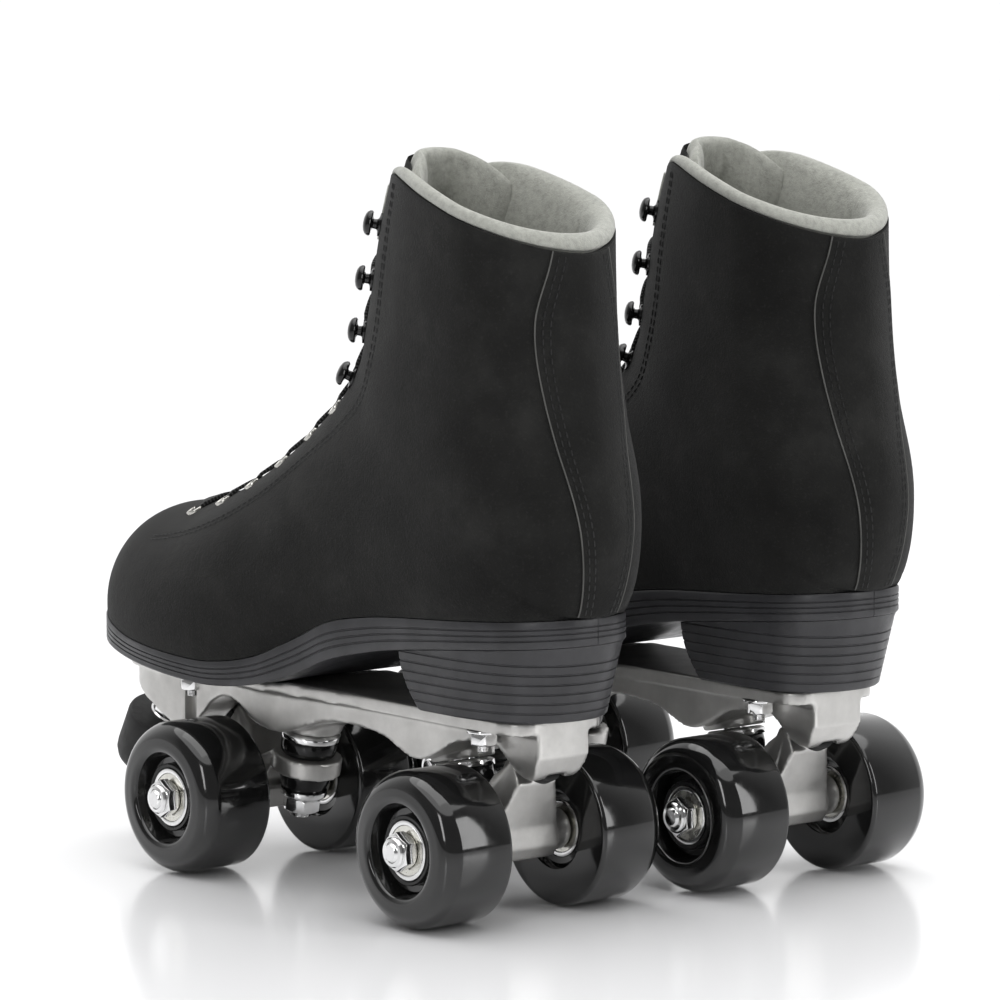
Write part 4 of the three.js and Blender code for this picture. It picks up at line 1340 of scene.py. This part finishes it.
class SKATES_OT_soles(bpy.types.Operator):
    """Outsoles and stacked heels"""

    bl_idname = "skates.soles"
    bl_label = "Soles and heels"

    def execute(self, context):
        outsole = sole_slab("outsole_rubber", SOLE_MARGIN, lambda x: height_of(sole_top, x),
                            lambda x: height_of(sole_bottom, x), (0.3, 0.5, 0.7))
        smooth(outsole, 40)
        on_boots(outsole, finish_of("sole"), "outsole")
        heel = self.heel()
        on_boots(heel, finish_of("sole"), "heel")
        return {"FINISHED"}

    def heel(self):
        """The heel block, drawn in towards its foot, with grooves that part its layers."""
        pairs = [(outer[0], inner[0]) for outer, inner in sole_outline(150) if outer[0].x < 24]
        narrow = 1 - 5 / GIRTHS[11][2]
        back = min(p[0].x for p in pairs)
        reach = (HEEL_FOOT_BACK - HEEL_MIDDLE) / (back - HEEL_MIDDLE)
        pitch = (HEEL_TOP - 4 - HEEL_BOTTOM) / HEEL_LAYERS
        levels = [(HEEL_BOTTOM, -0.7), (HEEL_BOTTOM + 0.7, 0)]
        for i in range(1, HEEL_LAYERS):
            z = HEEL_BOTTOM + i * pitch
            levels += [(z - 0.45, 0), (z - 0.15, -0.4), (z + 0.15, -0.4), (z + 0.45, 0)]
        levels += [(lerp(z, HEEL_TOP, k), 0) for k in (0.3, 0.6, 1.0)]
        rows = []
        for z, inset in levels:
            share = 1 - (z - HEEL_BOTTOM) / (HEEL_TOP + 4 - HEEL_BOTTOM)
            face = lerp(-47.6, -56, min(max((96 - z) / 19.6, 0), 1) ** 2)

            def shaped(point):
                x = (point.x - HEEL_MIDDLE) * lerp(1, reach, share)
                y = point.y * lerp(1, narrow, share)
                scale = 1 + inset / 32
                return Vector((HEEL_MIDDLE + x * scale, y * scale, 0))

            outer = self.clipped([shaped(p[0]) for p in pairs], face)
            inner = self.clipped([shaped(p[1]) for p in pairs], face)
            loop = self.evenly(outer + inner[::-1], 48)
            start, end = loop[0], loop[-1]
            for i in range(1, 10):
                across = i / 10
                hollow = 1.6 * math.sin(across * math.pi)
                loop.append(Vector((lerp(end.x, start.x, across) - hollow, lerp(end.y, start.y, across), 0)))
            rows.append([Vector((p.x, p.y, min(z, height_of(sole_bottom, p.x) - 0.25))) for p in loop])
        heel = grid("heel_stack", rows, closed=True, cap=True)
        clean(heel)
        smooth(heel, 35)
        return heel

    def clipped(self, line, face):
        """The part of a line behind the heel's face, starting on it."""
        for i, (a, b) in enumerate(zip(line, line[1:])):
            if a.x >= face > b.x:
                return [a.lerp(b, (a.x - face) / (a.x - b.x))] + line[i + 1:]
        return line

    def evenly(self, line, count):
        lengths = [0.0]
        for a, b in zip(line, line[1:]):
            lengths.append(lengths[-1] + (b - a).length)
        spread, i = [], 0
        for k in range(count + 1):
            at = lengths[-1] * k / count
            while i < len(line) - 2 and lengths[i + 1] < at:
                i += 1
            run = lengths[i + 1] - lengths[i]
            spread.append(line[i].lerp(line[i + 1], (at - lengths[i]) / run if run else 0))
        return spread


# ---- Chassis ----

class SKATES_OT_plates(bpy.types.Operator):
    """Cast plates with their mounting bolts and pivot cups"""

    bl_idname = "skates.plates"
    bl_label = "Plates"

    def execute(self, context):
        on_boots(self.casting(), finish_of("alloy"), "plate")
        cup = turned("pivot_cup", [(4.7, -6.8), (7.0, -6.8), (7.6, -5.6), (7.6, -2), (4.7, -2)], 40, ring=True,
                     edge=0.4)
        on_trucks(cup, finish_of("stop"), "boot", None, NOSE)
        self.bolts()
        return {"FINISHED"}

    def casting(self):
        """The plate: a flanged channel with arches over the trucks and a narrow block at its tail."""
        chin = PLATE_UNDERSIDE[-1]
        nose = chin[1] + (PLATE_FRONT - chin[0]) * math.tan(math.radians(STOP_TILT))
        side = [tuple(p) for p in rounded(PLATE_UNDERSIDE, 120)]
        side += [(PLATE_FRONT - 1.6, nose - 0.7), (PLATE_FRONT, nose + 1.2)]
        side += [(PLATE_FRONT, height_of(sole_bottom, PLATE_FRONT) - 0.3)]
        side += [(x, z - 0.3) for x, z in sole_bottom if 34 < x < PLATE_FRONT]
        side += [(34, PLATE_TOP - 0.8), (28, PLATE_TOP), (PLATE_REAR, PLATE_TOP)]
        plate = prism("plate_casting", side, -FAR, FAR, 1)
        walls = prism("walls", self.plan(FLANGE_LIP), 0, 2 * FAR, 2)
        cut(walls, prism("flange", self.plan(0), FLANGE_BOTTOM, 2 * FAR + 1, 2), "UNION")
        cut(plate, walls, "INTERSECT")
        tail = prism("tail", side, -FAR, FAR, 1)
        half = REAR_BLOCK_HALF
        section = [(-half, 73), (-half, 58), (-half + 2.5, 52.5), (half - 2.5, 52.5), (half, 58), (half, 73)]
        cut(tail, prism("section", eased(section, 3), -PLATE_FRONT, REAR_BLOCK_FRONT + 1, 0), "INTERSECT")
        cut(plate, prism("waist", self.under((-200, REAR_BLOCK_FRONT)), -FAR - 1, FAR + 1, 1), "DIFFERENCE")
        cut(plate, tail, "UNION")
        for out in ((BOLT_NOTCH_IN, FAR + 1), (-FAR - 1, -BOLT_NOTCH_IN)):
            cut(plate, prism("notch", self.under(BOLT_NOTCH), *out, 1), "DIFFERENCE")
        cut(plate, prism("hollow", self.under(HOLLOW), -HOLLOW_HALF, HOLLOW_HALF, 1), "DIFFERENCE")
        for turn in (Matrix(), HALF_TURN):
            boss = turned("boss", [(0, BOSS_AT), (11.9, BOSS_AT), (12.3, BOSS_AT + 8), (15, BOSS_AT + 13),
                                   (0, BOSS_AT + 13)], 48)
            for part, place, operation in (
                    (drum("clear", 13.2, -20, BOSS_AT, 48), KINGPIN, "DIFFERENCE"), (boss, KINGPIN, "UNION"),
                    (drum("pocket", 7.8, -16, 1.4, 40), NOSE, "DIFFERENCE")):
                part.data.transform(turn @ place)
                cut(plate, part, operation)
        stem = drum("stem", 6.4, -16, 8, 48)
        stem.data.transform(STOP)
        cut(plate, stem, "DIFFERENCE")
        crown = self.crown(side)
        above = crown + [(x, z + 40) for x, z in crown[::-1]]
        cut(plate, prism("above", above, -FAR, FAR, 1), "DIFFERENCE")
        modify(plate, "REMESH", mode="VOXEL", voxel_size=0.9 * MM)
        modify(plate, "SMOOTH", factor=0.5, iterations=4)
        modify(plate, "DECIMATE", ratio=0.4)
        smooth(plate, 50)
        return plate

    def crown(self, side):
        """The top of the plate's side view, run past both its ends."""
        top = [p for p in side if p[1] > FLANGE_BOTTOM]
        return [(top[0][0] + 20, top[0][1] + 4)] + top + [(top[-1][0] - 20, top[-1][1])]

    def plan(self, inset):
        """Half the flange's outline from the tail to the nose, and its mirror, with eased corners."""
        front, rear = FLANGE_FRONT_HALF - inset, FLANGE_REAR_HALF - inset
        half = [(PLATE_REAR, rear - 6), (PLATE_REAR + 6, rear), (-20, rear), (60, front),
                (PLATE_FRONT - 16, front - 1), (PLATE_FRONT - 5, front - 5), (PLATE_FRONT, front - 16)]
        return eased(half + [(x, -y) for x, y in half[::-1]], 5)

    def under(self, along):
        """The side view of all that is under the flange between two places."""
        rear, front = along
        return [(rear, 0), (front, 0), (front, FLANGE_BOTTOM), (rear, FLANGE_BOTTOM)]

    def bolts(self):
        """Four bolts a plate: nut, washer and stud under the flange."""
        nut = hexagon("nut", 9.5, -5.6, -1.2, 0, 0.7)
        washer = turned("washer", [(3, -1.2), (6.2, -1.2), (6.2, -0.1), (3, -0.1)], 40, ring=True, edge=0.25)
        ridges = [(0, -8.4), (1.9, -8.4)]
        for i in range(5):
            ridges += [(2.4, -8.0 + i * 0.5), (2.1, -7.75 + i * 0.5)]
        stud = turned("stud", ridges + [(2.4, -1), (0, -1)], 28)
        bolt = join("bolt", [nut, washer, stud])
        copies = []
        for x, y in BOLTS:
            place = Matrix.Translation(Vector((x, y, FLANGE_BOTTOM)) * MM)
            copies.append(copied(bolt, place @ Matrix.Rotation(math.pi / 2, 4, "X")))
        discard(bolt)
        on_boots(join("mounting_bolts", copies), finish_of("chrome"))


class SKATES_OT_trucks(bpy.types.Operator):
    """Hangers, axles, kingpins and cushions"""

    bl_idname = "skates.trucks"
    bl_label = "Trucks"

    def execute(self, context):
        hanger = self.hanger()
        on_trucks(hanger, finish_of("alloy"), "truck", "hanger")
        axle_end = BEARING_END + WHEEL_INNER_FACE + 7.7
        profile = [(0, -axle_end), (2.9, -axle_end), (3.5, -axle_end + 0.6)]
        profile += thread_ridges(-axle_end + 0.8, 14, 3.6, 0.45)
        half = profile + [(3.6, -axle_end + 8), (3.6, 0)]
        axle = turned("axle", half + [(r, -y) for r, y in half[::-1][1:]], 40)
        centre = Matrix.Translation(Vector((AXLE_X, 0, WHEEL_RADIUS)) * MM)
        on_trucks(axle, finish_of("chrome"), "truck", None, centre)
        self.kingpin()
        high = STACK + CUSHION
        top = turned("upper_cushion_rubber", [(5, STACK), (9.9, STACK), (10.6, STACK + 1),
                                              (10.9, STACK + CUSHION / 2), (10.6, high - 1), (9.9, high),
                                              (5, high)], 56, ring=True, edge=0.3)
        on_trucks(top, finish_of("cushion"), "boot", "upper_cushion", KINGPIN)
        low = -STACK - CUSHION
        bottom = turned("lower_cushion_rubber", [(5, low), (7.6, low), (8.4, low + 0.8),
                                                 (9.4, low + CUSHION * 0.55), (10.1, -STACK - 0.9),
                                                 (9.6, -STACK), (5, -STACK)], 56, ring=True, edge=0.3)
        on_trucks(bottom, finish_of("cushion"), "boot", "lower_cushion", KINGPIN)
        return {"FINISHED"}

    def hanger(self):
        """The cast hanger: an axle tube, a web down from the pivot nose, and an arm to the kingpin ring."""
        centre = Matrix.Translation(Vector((AXLE_X, 0, WHEEL_RADIUS)) * MM)
        tube_half = WHEEL_INNER_FACE + BEARING_INSET - 0.3
        tube = turned("tube", [(0, -tube_half), (7.4, -tube_half), (7.9, -tube_half + 1),
                               (7.9, tube_half - 1), (7.4, tube_half), (0, tube_half)], 48)
        tube.data.transform(centre)
        back = [PIVOT[i] - STEER[i] * 11 for i in (0, 1)]
        web_side = [(AXLE_X + x, WHEEL_RADIUS + z) for x, z in (
            (-7.5, 7), (-9.5, 0), (-5, -8.5), (6, -8.8), (9.6, -4), (9.8, 4))]
        web_side += [(back[0] + 3.6, back[1] - 5), (back[0] - 2, back[1] + 4), (AXLE_X + 1, back[1] - 3.5)]
        web = prism("web", web_side, -WEB_HALF, WEB_HALF, 1)
        for vertex in web.data.vertices:
            climb = min(max((vertex.co.z / MM - WHEEL_RADIUS) / (back[1] - WHEEL_RADIUS), 0), 1)
            vertex.co.y *= lerp(1, 0.42, climb)
        band = drum("band", 13.4, -RING_HALF, RING_HALF, 64)
        band.data.transform(KINGPIN)
        arm_side = [(RING_CENTRE[0] + 9.5, 39.6), (RING_CENTRE[0] + 8, 45.8), (AXLE_X - 1, WHEEL_RADIUS + 11),
                    (AXLE_X, WHEEL_RADIUS), (AXLE_X - 9, WHEEL_RADIUS + 4)]
        arm = prism("arm", arm_side, -ARM_HALF, ARM_HALF, 1)
        nose = turned("nose", [(0, -20), (6.6, -20), (6.2, -11), (4.3, -8), (4.3, -2), (2.6, 0),
                               (0, 0.5)], 40)
        nose.data.transform(NOSE)
        hanger = join("hanger_casting", [tube, web, band, arm, nose])
        modify(hanger, "REMESH", mode="VOXEL", voxel_size=0.75 * MM)
        modify(hanger, "SMOOTH", factor=0.5, iterations=5)
        bore = drum("bore", 6.2, -9, 9, 48)
        bore.data.transform(KINGPIN)
        cut(hanger, bore, "DIFFERENCE")
        smooth(hanger, 45)
        return hanger

    def kingpin(self):
        """The pin with a cup washer over each cushion and a nut under the lower one."""
        cups = []
        for sign in (1, -1):
            radius = 11.6 if sign > 0 else 9.2
            cup = turned("cup", [(4.6, sign * (WASHER_AT - 0.1)), (radius - 1.3, sign * (WASHER_AT - 0.1)),
                                 (radius - 0.9, sign * (WASHER_AT - 1.2)), (radius, sign * (WASHER_AT - 1.2)),
                                 (radius, sign * (WASHER_AT + 0.9)), (radius - 1.6, sign * (WASHER_AT + 1.9)),
                                 (4.6, sign * (WASHER_AT + 1.9))], 56, ring=True, edge=0.2)
            cups.append(cup)
        foot = -WASHER_AT - WASHER
        nut = hexagon("nut", 13, foot - 5.6, foot, 0, 0.9)
        profile = [(0, foot - 8), (3.4, foot - 8)] + thread_ridges(foot - 7.7, 4, 4.1, 0.5)
        pin = turned("pin", profile + [(4.1, foot - 5), (4.2, BOSS_AT + 8), (0, BOSS_AT + 8)], 40)
        on_trucks(join("kingpin_set", [*cups, nut, pin]), finish_of("chrome"), "boot", "kingpin",
                  KINGPIN)


class SKATES_OT_wheels(bpy.types.Operator):
    """Wheels with their hubs, bearings, washers and axle nuts"""

    bl_idname = "skates.wheels"
    bl_label = "Wheels"

    def execute(self, context):
        on_wheels(self.tyre(), finish_of("wheel"), "wheel", "wheel")
        hub = turned("hub", [(11.25, 23.6), (13.0, 23.6), (13.0, 26.2), (12.6, 26.7), (11.6, 26.7),
                             (11.25, 26.3)], 64, ring=True)
        on_wheels(hub, finish_of("hub"))
        self.bearings()
        start = BEARING_END + 0.35
        nut = hexagon("lock_nut", 12.8, start, start + 4.9, 0, 0.8)
        collar = turned("collar", [(3.6, start + 4.7), (5.6, start + 4.7), (5.6, start + 5.6),
                                   (5.1, start + 6.3), (3.9, start + 6.5), (3.6, start + 6.2)], 40, ring=True)
        on_wheels(join("lock_nut", [nut, collar]), finish_of("chrome"), "truck", "axle_nut")
        washer = turned("speed_washer", [(3.8, BEARING_END), (6.4, BEARING_END), (6.4, BEARING_END + 0.3),
                                         (3.8, BEARING_END + 0.3)], 40, ring=True)
        on_wheels(washer, finish_of("steel"), "truck")
        return {"FINISHED"}

    def tyre(self):
        """The wheel's section: flat tread, deep rounded outer shoulder, dished face and bored core."""
        r, w = WHEEL_RADIUS, WHEEL_WIDTH
        crease = math.radians(20)
        shoulder = [(22.4 + (r - 22.4) / math.cos(crease) * math.cos(a), w - 10.6 + 10.3 * math.sin(a))
                    for a in [lerp(crease, math.pi / 2, i / 12) for i in range(13)]]
        inner_edge = [(r - 1.8 + 1.8 * math.cos(a), 1.8 - 1.8 * math.sin(a))
                      for a in [math.pi / 2 * (1 - i / 5) for i in range(6)]]
        dish = [(20.5, w - 0.15), (19.4, w - 0.05), (18.2, w - 0.2), (17.4, w - 0.9), (17, w - 2),
                (16.5, w - 5.4), (15.3, w - 6.9), (13.1, w - 7.2)]
        first = BEARING_INSET + BEARING_WIDTH
        core = [(11.2, w - 7.2), (11.2, first + BEARING_SPACER), (9.3, first + BEARING_SPACER), (9.3, first),
                (11.2, first), (11.2, BEARING_INSET + 0.1), (13.4, BEARING_INSET - 0.3), (14.4, 0.9),
                (15.3, 0.15)]
        profile = inner_edge + shoulder + dish + core
        return turned("tyre", profile, 96, ring=True)

    def bearings(self):
        """Two bearings a wheel: outer race, shield, inner race, and the sleeve between the two."""
        parts = []
        for low in (BEARING_INSET, BEARING_END - BEARING_WIDTH):
            high = low + BEARING_WIDTH
            for name, bore, radius, steps in (("race", 9.3, 11.0, 56), ("core", 4.0, 5.7, 48)):
                section = [(bore, low), (radius, low), (radius, high), (bore, high)]
                parts.append(turned(name, section, steps, ring=True, edge=0.25))
        shields = []
        for at in (BEARING_INSET + 0.35, BEARING_END - 0.75):
            section = [(5.9, at), (6.6, at - 0.12), (8.2, at + 0.1), (9.15, at), (9.15, at + 0.4),
                       (5.9, at + 0.4)]
            shields.append(turned("shield", section, 56, ring=True))
        first = BEARING_INSET + BEARING_WIDTH
        sleeve = turned("sleeve", [(4.1, first), (5.8, first), (5.8, first + BEARING_SPACER),
                                   (4.1, first + BEARING_SPACER)], 32, ring=True)
        on_wheels(join("races", parts), finish_of("chrome"), "wheel", "bearings")
        on_wheels(join("shields", [*shields, sleeve]), finish_of("steel"))


class SKATES_OT_toe_stops(bpy.types.Operator):
    """Toe stops with their stems and lock nuts"""

    bl_idname = "skates.toe_stops"
    bl_label = "Toe stops"

    def execute(self, context):
        end = STOP_TOP + STOP_HEIGHT
        rubber_profile = [(0, STOP_TOP), (18.6, STOP_TOP), (19.3, STOP_TOP + 0.5), (19.7, STOP_TOP + 1.6),
                          (20.4, end - 7), (20.3, end - 4.4), (19.4, end - 2.2), (17.6, end - 0.9),
                          (14.5, end - 0.3), (0, end)]
        stop = turned("toe_stop_rubber", rubber_profile, 80)
        threads = thread_ridges(-6, 26, 6.0, 0.62)
        head = [(6, STOP_TOP - 2.4), (10.6, STOP_TOP - 2.4), (11.2, STOP_TOP - 1.8), (11.2, STOP_TOP - 0.1),
                (0, STOP_TOP - 0.1)]
        stem = turned("stem", [(0, -13.5), (5.6, -13.5), (6, -13)] + threads + head, 48)
        nut = hexagon("toe_stop_lock_nut", 22, 0.35, 9.3, 6.4, 1.5)
        for side in SIDES:
            matrix = STANDS[side].matrix @ STOP
            body = f"{side}_toe_stop"
            stand(stop, f"{side}_toe_stop_rubber", matrix, body, finish_of("stop"),
                  (f"{side}_toe_stop",))
            stand(stem, f"{side}_toe_stop_stem", matrix, body, finish_of("chrome"))
            stand(nut, f"{side}_toe_stop_lock_nut", matrix, f"{side}_boot", finish_of("chrome"),
                  (f"{side}_toe_stop_nut",))
        discard(stop, stem, nut)
        return {"FINISHED"}


# ---- Stage ----

class SKATES_OT_stage(bpy.types.Operator):
    """White studio floor, soft lights and the camera"""

    bl_idname = "skates.stage"
    bl_label = "Stage"

    AZIMUTH, ELEVATION = 230.0, 7.0
    DISTANCE = 2.084

    def execute(self, context):
        self.floor()
        self.world()
        self.lights()
        self.camera()
        return {"FINISHED"}

    def floor(self):
        """A glossy white floor."""
        deselect()
        bpy.ops.mesh.primitive_plane_add(size=30, location=(0, 0, -0.0004))
        floor = bpy.context.object
        floor.name = floor.data.name = "studio_floor"
        finish = Finish("studio_floor", (0.93, 0.93, 0.94), 0.16, Specular_IOR_Level=0.6)
        finish.rough(finish.ramp(finish.noise(3, 2), [(0.3, 0.14), (0.7, 0.19)]))
        floor.data.materials.append(finish.material)

    def world(self):
        """White behind the skates and dim behind the camera, so that gloss stays dark where it faces it."""
        world = bpy.data.worlds.new("studio")
        bpy.context.scene.world = world
        world.use_nodes = True
        nodes, links = world.node_tree.nodes, world.node_tree.links
        place = nodes.new("ShaderNodeTexCoord").outputs["Generated"]
        facing = nodes.new("ShaderNodeVectorMath")
        facing.operation = "DOT_PRODUCT"
        azimuth = math.radians(self.AZIMUTH)
        facing.inputs[1].default_value = (math.sin(azimuth), -math.cos(azimuth), 0)
        links.new(place, facing.inputs[0])
        ramp = nodes.new("ShaderNodeMapRange")
        links.new(facing.outputs["Value"], ramp.inputs["Value"])
        for socket, value in (("From Min", -0.55), ("From Max", 0.1), ("To Min", 1.0), ("To Max", 0.2)):
            ramp.inputs[socket].default_value = value
        background = nodes["Background"]
        background.inputs["Color"].default_value = (1, 1, 1, 1)
        links.new(ramp.outputs["Result"], background.inputs["Strength"])
        bpy.context.scene.view_settings.view_transform = "Standard"

    def lights(self):
        def area(name, place, target, size, energy):
            data = bpy.data.lights.new(name, "AREA")
            data.shape = "RECTANGLE"
            data.size, data.size_y = size
            data.energy = energy
            light = bpy.data.objects.new(name, data)
            bpy.context.scene.collection.objects.link(light)
            light.location = place
            light.rotation_euler = (Vector(target) - Vector(place)).to_track_quat("-Z", "Y").to_euler()
        area("overhead", (0, 0, 1.6), (0, 0, 0), (1.4, 1.4), 6)
        area("key", (-1.5, -0.7, 0.7), (0, 0, 0.1), (0.45, 1.2), 8)
        area("side", (-0.9, 1.6, 0.9), (0, 0, 0.1), (0.3, 1.1), 6)
        sun = bpy.data.lights.new("sky", "SUN")
        sun.energy, sun.angle = 2.0, math.radians(80)
        light = bpy.data.objects.new("sky", sun)
        bpy.context.scene.collection.objects.link(light)

    def camera(self):
        low, high = CAD_BOX
        centre = (low + high) / 2
        azimuth, elevation = math.radians(self.AZIMUTH), math.radians(self.ELEVATION)
        back = Vector((math.sin(azimuth) * math.cos(elevation), -math.cos(azimuth) * math.cos(elevation),
                       math.sin(elevation)))
        data = bpy.data.cameras.new("camera")
        data.lens, data.sensor_width = 196, 36
        data.clip_start, data.clip_end = 0.05, 50
        camera = bpy.data.objects.new("camera", data)
        bpy.context.scene.collection.objects.link(camera)
        camera.location = centre + back * self.DISTANCE
        camera.rotation_euler = (-back).to_track_quat("-Z", "Y").to_euler()
        bpy.context.scene.camera = camera


# ---- Panel and registration ----

OPERATORS = (
    SKATES_OT_upper, SKATES_OT_lining, SKATES_OT_tongue, SKATES_OT_laces, SKATES_OT_eyelets, SKATES_OT_soles,
    SKATES_OT_plates, SKATES_OT_trucks, SKATES_OT_wheels, SKATES_OT_toe_stops, SKATES_OT_stage,
)


class SKATES_PT_panel(bpy.types.Panel):
    """Lists the settings and the pieces"""

    bl_label = "Quad Roller Skates"
    bl_idname = "SKATES_PT_panel"
    bl_space_type = "VIEW_3D"
    bl_region_type = "UI"
    bl_category = "Skates"

    def draw(self, context):
        for key in SkateSettings.__annotations__:
            self.layout.prop(context.scene.skates, key)
        for operator in OPERATORS:
            self.layout.operator(operator.bl_idname)


def register():
    for made in (SkateSettings, *OPERATORS, SKATES_PT_panel):
        bpy.utils.register_class(made)
    bpy.types.Scene.skates = PointerProperty(type=SkateSettings)


def unregister():
    del bpy.types.Scene.skates
    for made in (SKATES_PT_panel, *OPERATORS[::-1], SkateSettings):
        bpy.utils.unregister_class(made)


def main():
    register()
    for operator in OPERATORS:
        group, name = operator.bl_idname.split(".")
        getattr(getattr(bpy.ops, group), name)()


if __name__ == "__main__":
    main()
